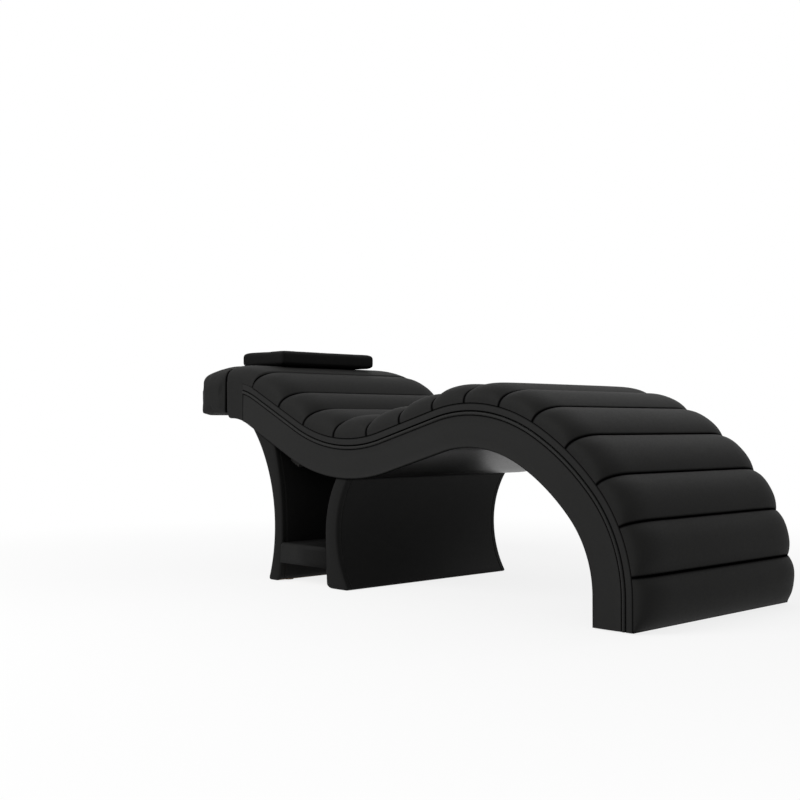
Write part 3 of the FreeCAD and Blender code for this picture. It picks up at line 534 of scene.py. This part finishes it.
# %% [markdown]
# ## Sides, borders and piping
# Below the rolls runs a narrow border strip, then a covered cord in the seam, then the plain padded
# side of the wave. A profile swept along a curve would do, but its ends would stand square to the wave.
# So each is a long bar drawn flat: its outer edges are rounded, it is cut across often enough to bend,
# its head end is slanted so that it stands upright on the wave, and it is laid on.

# %% Lay the long strips
SIDES = (("near", -1), ("far", 1))
SIDE_SEAM = 0.0902
SIDE_PAD = 0.010
BORDER_THICKNESS = 0.006
PIPING_RADIUS = 0.004
STRIP_CUTS = 170
STRIP_LEVELS = (-0.4, 0.0, 0.4)
STRIP_HEAD_CUTS = (0.4, 1.0)


def slant_head(bm):
    """Shears the head end so that it stands upright once the strip is laid on the wave."""
    for vert in bm.verts:
        start = WAVE.station_at(HEAD_X + SIDE_SEAM, vert.co.z)
        vert.co.x = start + vert.co.x * (WAVE.length - start) / WAVE.length


def strip(name, place, thickness, rises, rounding, crown, low_line, high_line, head_line=0.0, high_start=0.0):
    """A long padded bar on one side of the bed, between two rises.

    Painted shade darkens the grooves along its lower rim and its upper rim and the joint at its head end,
    with a strength each. The upper one starts at a station.
    """
    outer = place * HALF_WIDTH
    bm = box_mesh((0.0, place * (HALF_WIDTH - thickness), rises[0]), (WAVE.length, outer, rises[1]))
    lip = [edge for edge in edges_along(bm, X) if abs(edge.verts[0].co.y - outer) < TINY]
    round_edges(bm, lip, rounding, segments=4)
    bmesh.ops.subdivide_edges(bm, edges=edges_along(bm, X), cuts=STRIP_CUTS)
    middle = (rises[0] + rises[1]) / 2
    half = (rises[1] - rises[0]) / 2
    for level in STRIP_LEVELS:
        cut_across(bm, Z, middle + level * half)
    for share in STRIP_HEAD_CUTS:
        cut_across(bm, X, share * rounding)
    # painted shade in the joint at the head end
    seam = bm.verts.layers.float.new("seam")
    for vert in bm.verts:
        vert[seam] = head_line * max(0.0, 1.0 - vert.co.x / rounding)
    slant_head(bm)
    # painted shade in the grooves along the rims
    for vert in bm.verts:
        line = low_line if vert.co.z < middle else high_line * (vert.co.x > high_start)
        groove_shade = line * math.sqrt(abs(vert.co.y - outer) / rounding)
        vert[seam] = min(1.0, max(vert[seam], groove_shade))
        if abs(vert.co.y - outer) < TINY:
            vert.co.y -= math.copysign(crown * ((vert.co.z - middle) / half) ** 2, outer)
    lay_on_wave(bm)
    return make_piece(name, bm, "plain_cover", "bed", name)


for side, place in SIDES:
    panel = strip("side_panel_" + side, place, SIDE_PAD, (-FRAME_DEPTH, -PIPING_RADIUS), rounding=0.005,
                  crown=0.0012, low_line=1.0, high_line=1.8, head_line=2.0)
    strip("border_" + side, place, BORDER_THICKNESS, (PIPING_RADIUS, BORDER_HEIGHT), rounding=0.0055,
          crown=0.0006, low_line=6.0, high_line=1.5, high_start=PAD_SEAM)

# %% Roll the piping
# The cord is a little thicker than its seat, so that no slit stays open beside it.
PIPING_CORD = 0.0043
PIPING_PROUD = 0.0015


def piping(name, place):
    bm = bmesh.new()
    bmesh.ops.create_cone(bm, cap_ends=True, segments=24, radius1=PIPING_CORD, radius2=PIPING_CORD,
                          depth=WAVE.length, matrix=TURN_TO_X)
    shift = Vector((WAVE.length / 2, place * (HALF_WIDTH + PIPING_PROUD - PIPING_RADIUS), 0.0))
    bmesh.ops.translate(bm, vec=shift, verts=bm.verts)
    bmesh.ops.subdivide_edges(bm, edges=edges_along(bm, X), cuts=2 * STRIP_CUTS)
    slant_head(bm)
    lay_on_wave(bm)
    make_piece(name, bm, "welt", "bed", name)


for side, place in SIDES:
    piping("piping_" + side, place)

# %% Stretch the underside cover
CLEARANCE = 0.0002
UNDER_COVER = 0.004
UNDER_ROUND = 0.002

under_half = HALF_WIDTH - SIDE_PAD - CLEARANCE
under = box_mesh((0.0, -under_half, -FRAME_DEPTH), (WAVE.length, under_half, UNDER_COVER - FRAME_DEPTH))
under_rims = [edge for edge in edges_along(under, X) if edge.verts[0].co.z < -FRAME_DEPTH + TINY]
round_edges(under, under_rims, UNDER_ROUND, segments=3)
bmesh.ops.subdivide_edges(under, edges=edges_along(under, X), cuts=STRIP_CUTS)
slant_head(under)
lay_on_wave(under)
underside = make_piece("underside_cover", under, "plain_cover", "bed", "underside_cover",
                       finish="under_cover")

# %% [markdown]
# ## Head wrap
# The head end is a plain padded sleeve. Its top corners have the same broad shoulder as the pad, its
# lower front edge is well rounded, and two round holes let the headrest rods in. It starts as a box;
# the shoulder is one wide bevel that is then flattened, the other edges take a small one, the front is
# filled again round the rod holes, and a Solidify modifier gives the cover its thickness. A Boolean
# could cut the holes too, but filling leaves the rest of the mesh as it is.

# %% Helpers for the head end
# An edge longer than this runs the whole length of a piece at the head end.
HEAD_PIECE_LONG = 0.08
CORNER_ANGLE = 35
ROD_DROP = 0.054
ROD_SPACING = 0.360
ROD_PASSAGE = 0.013


def round_crest(bm, top):
    """Rounds the two long top edges of a box over the width of the shoulder."""
    crest = [edge for edge in edges_along(bm, X, HEAD_PIECE_LONG) if edge.verts[0].co.z > top - TINY]
    round_edges(bm, crest, SHOULDER_WIDTH, segments=12)


def flatten_shoulder(bm, low, side_top, top):
    """Squeezes a round bevel of the shoulder width into the lower, fuller shoulder of the bed."""
    start = top - SHOULDER_WIDTH
    for vert in bm.verts:
        if vert.co.z > start + TINY:
            vert.co.z = side_top + shoulder(vert.co.y) * (top - side_top)
        else:
            vert.co.z = low + (vert.co.z - low) * (side_top - low) / (start - low)


def cut_rod_holes(bm):
    """Fills the open front again, with two round holes in it."""
    outline = [edge for edge in bm.edges if edge.is_boundary and max(v.co.x for v in edge.verts) < WELD]
    for place in (-1, 1):
        centre = Matrix.Translation((0.0, place * ROD_SPACING / 2, -ROD_DROP))
        ring = bmesh.ops.create_circle(bm, cap_ends=False, segments=32, radius=ROD_PASSAGE,
                                       matrix=centre @ TURN_TO_X)
        outline += list({edge for vert in ring["verts"] for edge in vert.link_edges})
    bmesh.ops.triangle_fill(bm, use_beauty=True, edges=outline)


# %% Sew the head wrap
WRAP_TOP = 0.086
WRAP_CHIN = 0.020
WRAP_EDGE = 0.007
WRAP_EDGE_CUTS = (0.15, 0.4, 0.7, 1.0)
WRAP_CUTS = 12
WRAP_COVER = 0.0035


def tuck_wrap(bm):
    """Paints shade on the front rim, where the gap before the headrest is, slants the rear end of the sides
    and tucks that of the top into the seam.
    """
    seam = bm.verts.layers.float.new("seam")
    for vert in bm.verts:
        vert[seam] = edge_shade(vert.co.x, WRAP_EDGE) if vert.co.x > WELD else 0.0
        if vert.co.z <= BORDER_HEIGHT + TINY:
            vert.co.x *= WAVE.station_at(HEAD_X + SIDE_SEAM, vert.co.z) / PAD_SEAM
        else:
            over = max(0.0, vert.co.x - PAD_SEAM + WRAP_EDGE)
            tuck = WRAP_EDGE - math.sqrt(max(0.0, WRAP_EDGE ** 2 - over ** 2))
            vert.co.z -= tuck * (vert.co.z - BORDER_HEIGHT) / (WRAP_TOP - BORDER_HEIGHT)


def sew_head_wrap():
    bm = box_mesh((0.0, -HALF_WIDTH, -FRAME_DEPTH), (PAD_SEAM, HALF_WIDTH, WRAP_TOP))
    rear = [face for face in bm.faces if face.calc_center_median().x > PAD_SEAM - TINY]
    bmesh.ops.delete(bm, geom=rear, context="FACES")
    round_crest(bm, WRAP_TOP)
    chin = [edge for edge in edges_along(bm, Y)
            if max(vert.co.x for vert in edge.verts) < TINY and edge.verts[0].co.z < 0]
    round_edges(bm, chin, WRAP_CHIN, segments=6)
    flatten_shoulder(bm, -FRAME_DEPTH, PAD_EDGE, WRAP_TOP)
    round_edges(bm, sharp_edges(bm, CORNER_ANGLE), WRAP_EDGE, segments=4)
    front = [face for face in bm.faces if max(vert.co.x for vert in face.verts) < WELD]
    bmesh.ops.delete(bm, geom=front, context="FACES")
    cut_rod_holes(bm)
    bmesh.ops.subdivide_edges(bm, edges=edges_along(bm, X, HEAD_PIECE_LONG), cuts=WRAP_CUTS)
    cut_across(bm, Z, BORDER_HEIGHT)
    for share in WRAP_EDGE_CUTS:
        cut_across(bm, X, PAD_SEAM - WRAP_EDGE * share)
    tuck_wrap(bm)
    lay_on_wave(bm)
    return make_piece("head_wrap", bm, "quilted_cover", "bed", "head_wrap")


head_wrap = sew_head_wrap()
thicken(head_wrap, WRAP_COVER)

# %% [markdown]
# ## Headrest and pillow
# The headrest is a padded block on two rods; the pillow is a flat covered block that lies loose on the
# head end. Both start as a bevelled box, are remeshed into even quads so that the cloth can move, and
# are puffed up a little. The headrest's nose is smoothed as well, because its roundings meet there.


# %% Remesh helper
def remeshed(bm, voxel):
    """The same form in even quads."""
    mesh = bpy.data.meshes.new("even_quads")
    bm.to_mesh(mesh)
    bm.free()
    holder = bpy.data.objects.new("even_quads", mesh)
    bpy.context.scene.collection.objects.link(holder)
    modifier = holder.modifiers.new("Remesh", "REMESH")
    modifier.mode = "VOXEL"
    modifier.voxel_size = voxel
    even = bmesh.new()
    even.from_object(holder, bpy.context.evaluated_depsgraph_get())
    bpy.data.objects.remove(holder)
    bpy.data.meshes.remove(mesh)
    return even


# %% Stuff the headrest
# A point whose normal has more than FLAT_BACK along x lies on the flat back, not on its rim.
HEADREST_GAP = 0.005
HEADREST_LENGTH = 0.149
HEADREST_BACK = HEAD_X - HEADREST_GAP
HEADREST_NOSE = HEADREST_BACK - HEADREST_LENGTH
HEADREST_LOW = HEAD_HEIGHT - 0.078
HEADREST_TOP = HEAD_HEIGHT + 0.086
HEADREST_SIDE_TOP = HEAD_HEIGHT + 0.034
HEADREST_NOSE_FALL = 0.020
HEADREST_BOW = 0.006
HEADREST_PLAN_ROUND = 0.008
HEADREST_EDGE = 0.008
HEADREST_VOXEL = 0.006
NOSE_REACH = 0.05
NOSE_DROP = 0.03
NOSE_TURNS = 16
FLAT_BACK = 0.95
SOFT_CAP = 0.004


def lean_headrest(bm):
    """Lets the top fall towards the nose in a slight bow and draws the ends of the nose back."""
    for vert in bm.verts:
        along = (vert.co.x - HEADREST_NOSE) / HEADREST_LENGTH
        height = (vert.co.z - HEADREST_LOW) / (HEADREST_TOP - HEADREST_LOW)
        fall = HEADREST_NOSE_FALL * (1 - along) - 4 * HEADREST_BOW * along * (1 - along)
        vert.co.z -= fall * height
        vert.co.x += HEADREST_PLAN_ROUND * (1 - shoulder(vert.co.y)) * (1 - along)


def smooth_nose(bm):
    """Evens out the upper front of the headrest."""
    nose_top = [vert for vert in bm.verts
                if vert.co.x < HEADREST_NOSE + NOSE_REACH and vert.co.z > HEADREST_SIDE_TOP - NOSE_DROP]
    for turn in range(NOSE_TURNS):
        bmesh.ops.smooth_vert(bm, verts=nose_top, factor=0.5, use_axis_x=True, use_axis_y=True,
                              use_axis_z=True)
    bm.normal_update()


def stuff_headrest():
    bm = box_mesh((HEADREST_NOSE, -HALF_WIDTH, HEADREST_LOW), (HEADREST_BACK, HALF_WIDTH, HEADREST_TOP))
    round_crest(bm, HEADREST_TOP)
    flatten_shoulder(bm, HEADREST_LOW, HEADREST_SIDE_TOP, HEADREST_TOP)
    round_edges(bm, sharp_edges(bm, CORNER_ANGLE), HEADREST_EDGE, segments=3)
    lean_headrest(bm)
    even = remeshed(bm, HEADREST_VOXEL)
    smooth_nose(even)
    # painted shade on the rim at the back, in the gap before the head wrap
    seam = even.verts.layers.float.new("seam")
    for vert in even.verts:
        rim = vert.normal.x < FLAT_BACK
        vert[seam] = edge_shade(HEADREST_BACK - vert.co.x, HEADREST_EDGE) if rim else 0.0
    return make_piece("headrest_cushion", even, "quilted_cover", "headrest", "headrest_cushion")


headrest = stuff_headrest()
puff(headrest, SOFT_CAP)
soften(headrest)

# %% Stuff the pillow
PILLOW_EDGE = 0.009
PILLOW_DRAW = 0.004
PILLOW_SLACK = 0.003
PILLOW_VOXEL = 0.005


def stuff_pillow():
    low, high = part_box("head_pillow")
    slack = Vector((PILLOW_SLACK, PILLOW_SLACK, PILLOW_SLACK))
    bm = box_mesh(low + slack, high - slack)
    round_edges(bm, bm.edges[:], PILLOW_EDGE, segments=3)
    bm = remeshed(bm, PILLOW_VOXEL)
    middle = (low + high) / 2
    half = (high - low) / 2
    for vert in bm.verts:
        along = (vert.co.x - middle.x) / half.x
        across = (vert.co.y - middle.y) / half.y
        vert.co.x -= PILLOW_DRAW * along * (1 - across ** 2)
        vert.co.y -= PILLOW_DRAW * across * (1 - along ** 2)
    piece = make_piece("head_pillow", bm, "quilted_cover", "pillow", "head_pillow", finish="pillow_cover")
    puff(piece, SOFT_CAP)
    for vert in piece.data.vertices:
        vert.co.z = max(vert.co.z, low.z)
    return piece


pillow = stuff_pillow()
soften(pillow)

# %% [markdown]
# ## Base
# Two waisted panels and a shelf carry the middle of the wave. They are plywood under thin foam, so only
# their edges are soft. A panel starts as a box; its heel is well rounded, its other edges a little, and a
# sewn line runs round it near each side. Each level is then moved to the two hollow faces, and the top is
# cut to the underside of the wave, which is simpler than a Boolean with the wave. The shelf's front
# reaches into the rounded edges of the panels.

# %% Place the faces of the base panels
WAIST_HEIGHT = 0.170
PANEL_HEIGHT = 2 * WAIST_HEIGHT
TOP_ROUNDS = 25
Panel = namedtuple("Panel", "side waist thickness outer_radii inner_radii")
PANELS = {
    "head_panel_cover": Panel(side=-1, waist=0.251, thickness=0.040, outer_radii=(0.480, 0.480),
                              inner_radii=(0.800, 1.200)),
    "foot_panel_cover": Panel(side=1, waist=0.553, thickness=0.052, outer_radii=(0.285, 0.300),
                              inner_radii=(0.300, 3.000)),
}


def hollow_x(side, waist, radii, z):
    """x at a height on a face that is hollowed by one radius above the waist and one below it."""
    radius = radii[0] if z > WAIST_HEIGHT else radii[1]
    return HEAD_X + waist + side * (radius - math.sqrt(radius ** 2 - (z - WAIST_HEIGHT) ** 2))


def panel_x(panel, share, z):
    """x at a height, from the inner face (share 0) to the outer face (share 1)."""
    inner = hollow_x(panel.side, panel.waist - panel.side * panel.thickness, panel.inner_radii, z)
    outer = hollow_x(panel.side, panel.waist, panel.outer_radii, z)
    return inner + (outer - inner) * share


def panel_top(panel, share):
    """Height at which a line of the panel meets the underside of the wave."""
    z = PANEL_HEIGHT
    for turn in range(TOP_ROUNDS):
        station = WAVE.station_at(panel_x(panel, share, z), -FRAME_DEPTH)
        z = WAVE.point(station, 0.0, -FRAME_DEPTH).z - CLEARANCE
    return z


for name, panel in PANELS.items():
    print(name, "is", [round(panel_top(panel, share), 3) for share in (0.0, 1.0)], "high inside and outside")

# %% Cover the base panels
BASE_INSET = 0.006
BASE_HALF = HALF_WIDTH - BASE_INSET
PANEL_LOW = 0.001
PANEL_EDGE = 0.007
PANEL_HEEL = 0.014
PANEL_SHADE = 0.006
PANEL_CUTS = 26
RIM_ANGLE = 60
COVER_SEAM = 0.020
COVER_SEAM_WIDTH = 0.0015
COVER_SEAM_HOLD = 3 * COVER_SEAM_WIDTH


def panel_box(panel):
    """The flat box of a panel, with its rounded heel and edges and its two sewn lines."""
    bm = box_mesh((0.0, -BASE_HALF, 0.0), (panel.thickness, BASE_HALF, PANEL_HEIGHT))
    inner_x = 0.0 if panel.side > 0 else panel.thickness
    heel = [edge for edge in edges_along(bm, Y)
            if edge.verts[0].co.z < TINY and abs(edge.verts[0].co.x - inner_x) < TINY]
    round_edges(bm, heel, PANEL_HEEL, segments=5)
    rims = [edge for edge in sharp_edges(bm, RIM_ANGLE)
            if min(vert.co.z for vert in edge.verts) < PANEL_HEIGHT - TINY]
    round_edges(bm, rims, PANEL_EDGE, segments=4)
    for place in (-1, 1):
        ring = cut_across(bm, Y, place * (BASE_HALF - COVER_SEAM))
        round_edges(bm, ring, COVER_SEAM_WIDTH, segments=2)
        for hold in (-COVER_SEAM_HOLD, COVER_SEAM_HOLD):
            cut_across(bm, Y, place * (BASE_HALF - COVER_SEAM + hold))
    for vert in bm.verts:
        inset = abs(abs(vert.co.y) - (BASE_HALF - COVER_SEAM))
        if inset < COVER_SEAM_WIDTH / 4:
            vert.co.x += (panel.thickness / 2 - vert.co.x) * 2 * COVER_SEAM_WIDTH / panel.thickness
    bmesh.ops.subdivide_edges(bm, edges=edges_along(bm, Z, WAIST_HEIGHT), cuts=PANEL_CUTS)
    cut_across(bm, Z, PANEL_HEIGHT - PANEL_SHADE)
    return bm


def cover_panel(name, panel):
    bm = panel_box(panel)
    # painted shade along the top, a contact shadow where the panel meets the underside of the wave
    seam = bm.verts.layers.float.new("seam")
    tops = {}
    for vert in bm.verts:
        vert[seam] = 1.0 if vert.co.z > PANEL_HEIGHT - PANEL_SHADE / 2 else 0.0
        share = vert.co.x / panel.thickness
        if panel.side < 0:
            share = 1 - share
        key = round(share, 4)
        if key not in tops:
            tops[key] = panel_top(panel, share)
        z = PANEL_LOW + vert.co.z / PANEL_HEIGHT * (tops[key] - PANEL_LOW)
        vert.co = (panel_x(panel, share, z), vert.co.y, z)
    return make_piece(name, bm, "plain_cover", "bed", name, finish="base_cover")


for name, panel in PANELS.items():
    cover_panel(name, panel)

# %% Cover the shelf
SHELF_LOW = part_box("shelf_cover")[0].z
SHELF_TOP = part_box("shelf_cover")[1].z
SHELF_COVER = 0.0045
SHELF_ROUND = 0.006
SHELF_LEVELS = (0.25, 0.5, 0.75)
SHELF_REACH = 0.5 * PANEL_EDGE


def cover_shelf():
    bm = box_mesh((0.0, -BASE_HALF, SHELF_LOW), (1.0, BASE_HALF, SHELF_TOP))
    open_faces = [face for face in bm.faces if abs(face.normal.x) > 0.5 or face.normal.z < -0.5]
    bmesh.ops.delete(bm, geom=open_faces, context="FACES")
    crest = [edge for edge in edges_along(bm, X) if edge.verts[0].co.z > SHELF_TOP - TINY]
    round_edges(bm, crest, SHELF_ROUND, segments=4)
    for level in SHELF_LEVELS:
        cut_across(bm, Z, SHELF_LOW + (SHELF_TOP - SHELF_LOW) * level)
    for vert in bm.verts:
        reach = SHELF_REACH if abs(vert.co.y) > BASE_HALF - TINY else -CLEARANCE
        head = panel_x(PANELS["head_panel_cover"], 0.0, vert.co.z) - reach
        foot = panel_x(PANELS["foot_panel_cover"], 0.0, vert.co.z) + reach
        vert.co.x = head + (foot - head) * vert.co.x
    return make_piece("shelf_cover", bm, "plain_cover", "bed", "shelf_cover", finish="base_cover")


shelf = cover_shelf()
thicken(shelf, SHELF_COVER)

# %% [markdown]
# ## Rigid pieces
# The frame, the fasteners and the headrest rods keep their CAD shapes. Each gets the finish of what it is
# made of: plywood with long grain, timber, foam, chromed and zinc-plated steel, nylon and hard plastic
# glides. One noise drives colour, roughness and bump together, so that they agree. The cleats show over the
# shelf and the headrest board shows when the headrest is pulled out; both get a near-black wood finish.

# %% Helpers for hard finishes
WOOD_SPREAD = 0.2
WOOD_RELIEF = (0.2, 0.0005)
SPECK_SPREAD = 0.15
SPECK_STRENGTH = 0.3


def drive_by(texture, tree, shader, pale, deep, rough, relief):
    """Lets one texture value set colour, roughness and bump; relief is its strength and its height."""
    colour = mix_colours(tree, texture, deep, pale)
    tree.links.new(colour.outputs["Result"], shader.inputs["Base Color"])
    tree.links.new(spread_between(tree, texture, *rough), shader.inputs["Roughness"])
    tree.links.new(add_bump(tree, texture, *relief), shader.inputs["Normal"])


def wood(name, pale, deep, along, rough):
    finish, tree, shader, coords = new_finish(name, Specular_IOR_Level=0.3)
    stretched = add_node(tree, "ShaderNodeMapping", {"Vector": coords}, Scale=along)
    figure = add_noise(tree, stretched.outputs["Vector"], 1.0, detail=6.0, distortion=0.6)
    drive_by(figure, tree, shader, pale, deep, (rough, rough + WOOD_SPREAD), WOOD_RELIEF)
    return finish


def speckled(name, pale, deep, rough, scale, height, **shader_values):
    finish, tree, shader, coords = new_finish(name, **shader_values)
    speck = add_noise(tree, coords, scale, detail=5.0)
    drive_by(speck, tree, shader, pale, deep, (rough, rough + SPECK_SPREAD), (SPECK_STRENGTH, height))
    return finish


# %% Finish the rigid pieces
GRAIN_ALONG_X = (9.0, 60.0, 130.0)
GRAIN_ALONG_Y = (120.0, 8.0, 120.0)

FINISHES.update({
    "plywood": wood("birch_plywood", (0.60, 0.42, 0.25), (0.44, 0.28, 0.15), GRAIN_ALONG_X, 0.5),
    "timber": wood("pine", (0.62, 0.42, 0.22), (0.42, 0.24, 0.11), GRAIN_ALONG_Y, 0.5),
    "near_black_wood": wood("near_black_wood_finish", (0.014, 0.013, 0.012), (0.008, 0.0075, 0.007),
                         GRAIN_ALONG_Y, 0.6),
    "foam": speckled("grey_foam", (0.30, 0.30, 0.32), (0.20, 0.20, 0.21), 0.85, 700.0, 0.0008),
    "steel": speckled("chromed_steel", (0.62, 0.62, 0.63), (0.52, 0.52, 0.53), 0.12, 300.0, 0.00002,
                      Metallic=1.0),
    "zinc": speckled("zinc_plate", (0.55, 0.56, 0.58), (0.40, 0.41, 0.43), 0.32, 260.0, 0.00005,
                     Metallic=1.0),
    "nylon": speckled("white_nylon", (0.70, 0.70, 0.67), (0.60, 0.60, 0.57), 0.40, 400.0, 0.00005),
    "glide": speckled("black_plastic", (0.020, 0.020, 0.020), (0.012, 0.012, 0.012), 0.42, 500.0, 0.0001),
})
RIGID = {
    "plywood": ("side_rib_near", "side_rib_far", "centre_rib", "top_deck", "lower_deck", "front_bulkhead",
                "rear_bulkhead", "head_panel_core", "foot_panel_core", "shelf_board"),
    "timber": ("cross_battens", "foot_block", "mounting_rails", "shelf_aprons", "shelf_dowels"),
    "near_black_wood": ("base_cleats", "headrest_board"),
    "foam": ("pad_foam",),
    "steel": ("rod_sockets", "headrest_bar", "headrest_rods"),
    "zinc": ("cleat_screws", "base_bolts", "base_washers", "tee_nuts", "headrest_screws"),
    "nylon": ("rod_bushes",),
    "glide": ("base_glides", "foot_glides"),
}
for finish_name, names in RIGID.items():
    for name in names:
        for material_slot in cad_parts[name].material_slots:
            material_slot.material = FINISHES[finish_name]
print("finished", sum(len(names) for names in RIGID.values()), "rigid nodes")

# %% [markdown]
# ## Floor, light and camera
# The bed stands on a pale floor in a white studio. The world lights it evenly from all round, and two
# broad lights, one over the near side and one behind, give the rolls a soft side. The background is
# white because the camera and reflections see the world and the floor as plain white, not because more
# light falls on the bed. Round the bed part of the floor's own shade stays, so that it keeps its shadow.

# %% Build the studio
WHITE = (1.0, 1.0, 1.0, 1.0)
SKY_STRENGTH = 0.42


def larger_of(tree, first, second):
    node = add_node(tree, "ShaderNodeMath", operation="MAXIMUM")
    tree.links.new(first, node.inputs[0])
    tree.links.new(second, node.inputs[1])
    return node.outputs["Value"]


def seen_directly(tree):
    """1 where the camera, a reflection or glass looks at a surface, 0 for light that it sends out."""
    path = add_node(tree, "ShaderNodeLightPath").outputs
    either = larger_of(tree, path["Is Camera Ray"], path["Is Glossy Ray"])
    return larger_of(tree, either, path["Is Transmission Ray"])


def mix_with_white(tree, amount, plain, white_kind, output):
    white = add_node(tree, white_kind, Strength=1.0, Color=WHITE)
    mix = add_node(tree, "ShaderNodeMixShader", {"Fac": amount})
    tree.links.new(plain, mix.inputs[1])
    tree.links.new(white.outputs[0], mix.inputs[2])
    tree.links.new(mix.outputs["Shader"], output)


world = bpy.data.worlds.new("studio")
world.use_nodes = True
bpy.context.scene.world = world
sky = world.node_tree.nodes["Background"]
sky.inputs["Color"].default_value = WHITE
sky.inputs["Strength"].default_value = SKY_STRENGTH
mix_with_white(world.node_tree, seen_directly(world.node_tree), sky.outputs["Background"],
               "ShaderNodeBackground", world.node_tree.nodes["World Output"].inputs["Surface"])
print("world lights with", SKY_STRENGTH)

# %% Lay the floor
FLOOR_SIZE = 40.0
FLOOR_CELLS = 8
FLOOR_TONE = (0.86, 0.86, 0.86, 1.0)
SHADOW_FADE = {"From Min": 1.0, "From Max": 3.0, "To Min": 0.82, "To Max": 1.0}


def floor_paint():
    """A pale floor that turns white away from the bed."""
    paint, tree, shader, coords = new_finish("pale_floor", Roughness=0.9, Specular_IOR_Level=0.1)
    shader.inputs["Base Color"].default_value = FLOOR_TONE
    reach = add_node(tree, "ShaderNodeVectorMath", operation="LENGTH")
    tree.links.new(coords, reach.inputs[0])
    fade = add_node(tree, "ShaderNodeMapRange", {"Value": reach.outputs["Value"]},
                    interpolation_type="SMOOTHSTEP", **SHADOW_FADE)
    whiteness = add_node(tree, "ShaderNodeMath", operation="MULTIPLY")
    tree.links.new(seen_directly(tree), whiteness.inputs[0])
    tree.links.new(fade.outputs["Result"], whiteness.inputs[1])
    mix_with_white(tree, whiteness.outputs["Value"], shader.outputs["BSDF"], "ShaderNodeEmission",
                   tree.nodes["Material Output"].inputs["Surface"])
    return paint


floor_bm = bmesh.new()
bmesh.ops.create_grid(floor_bm, x_segments=FLOOR_CELLS, y_segments=FLOOR_CELLS, size=FLOOR_SIZE)
floor_mesh = bpy.data.meshes.new("studio_floor")
floor_bm.to_mesh(floor_mesh)
floor_bm.free()
floor_mesh.materials.append(floor_paint())
floor = bpy.data.objects.new("studio_floor", floor_mesh)
bpy.context.scene.collection.objects.link(floor)
print("floor laid with", len(floor_mesh.polygons), "faces")

# %% Hang the lights
LIGHT_WIDTH = 2.4


def soft_light(name, place, aim, power):
    light = bpy.data.lights.new(name, "AREA")
    light.shape = "DISK"
    light.size = LIGHT_WIDTH
    light.energy = power
    holder = bpy.data.objects.new(name, light)
    bpy.context.scene.collection.objects.link(holder)
    holder.location = place
    holder.rotation_euler = (Vector(aim) - Vector(place)).to_track_quat("-Z", "Y").to_euler()
    print(name, power, "watts")


soft_light("near_side_light", place=(-0.6, -3.2, 2.6), aim=(0.0, 0.0, 0.4), power=100.0)
soft_light("back_light", place=(0.4, 2.6, 2.8), aim=(0.2, 0.0, 0.5), power=20.0)

# %% Set the camera
CAMERA_PLACE = (HEAD_X + 3.2998, -HALF_WIDTH - 2.3714, 0.495)
CAMERA_FORWARD = Vector((-0.7203, 0.6933, 0.0207)).normalized()
CAMERA_LENS = 54.22
CAMERA_SENSOR = 36.0

lens = bpy.data.cameras.new("photo_camera")
lens.sensor_fit = "HORIZONTAL"
lens.sensor_width = CAMERA_SENSOR
lens.lens = CAMERA_LENS
camera = bpy.data.objects.new("photo_camera", lens)
bpy.context.scene.collection.objects.link(camera)
camera.location = CAMERA_PLACE
camera.rotation_euler = CAMERA_FORWARD.to_track_quat("-Z", "Y").to_euler()
bpy.context.scene.camera = camera
bpy.context.scene.view_settings.view_transform = "Standard"
print("camera with a lens of", CAMERA_LENS, "mm")
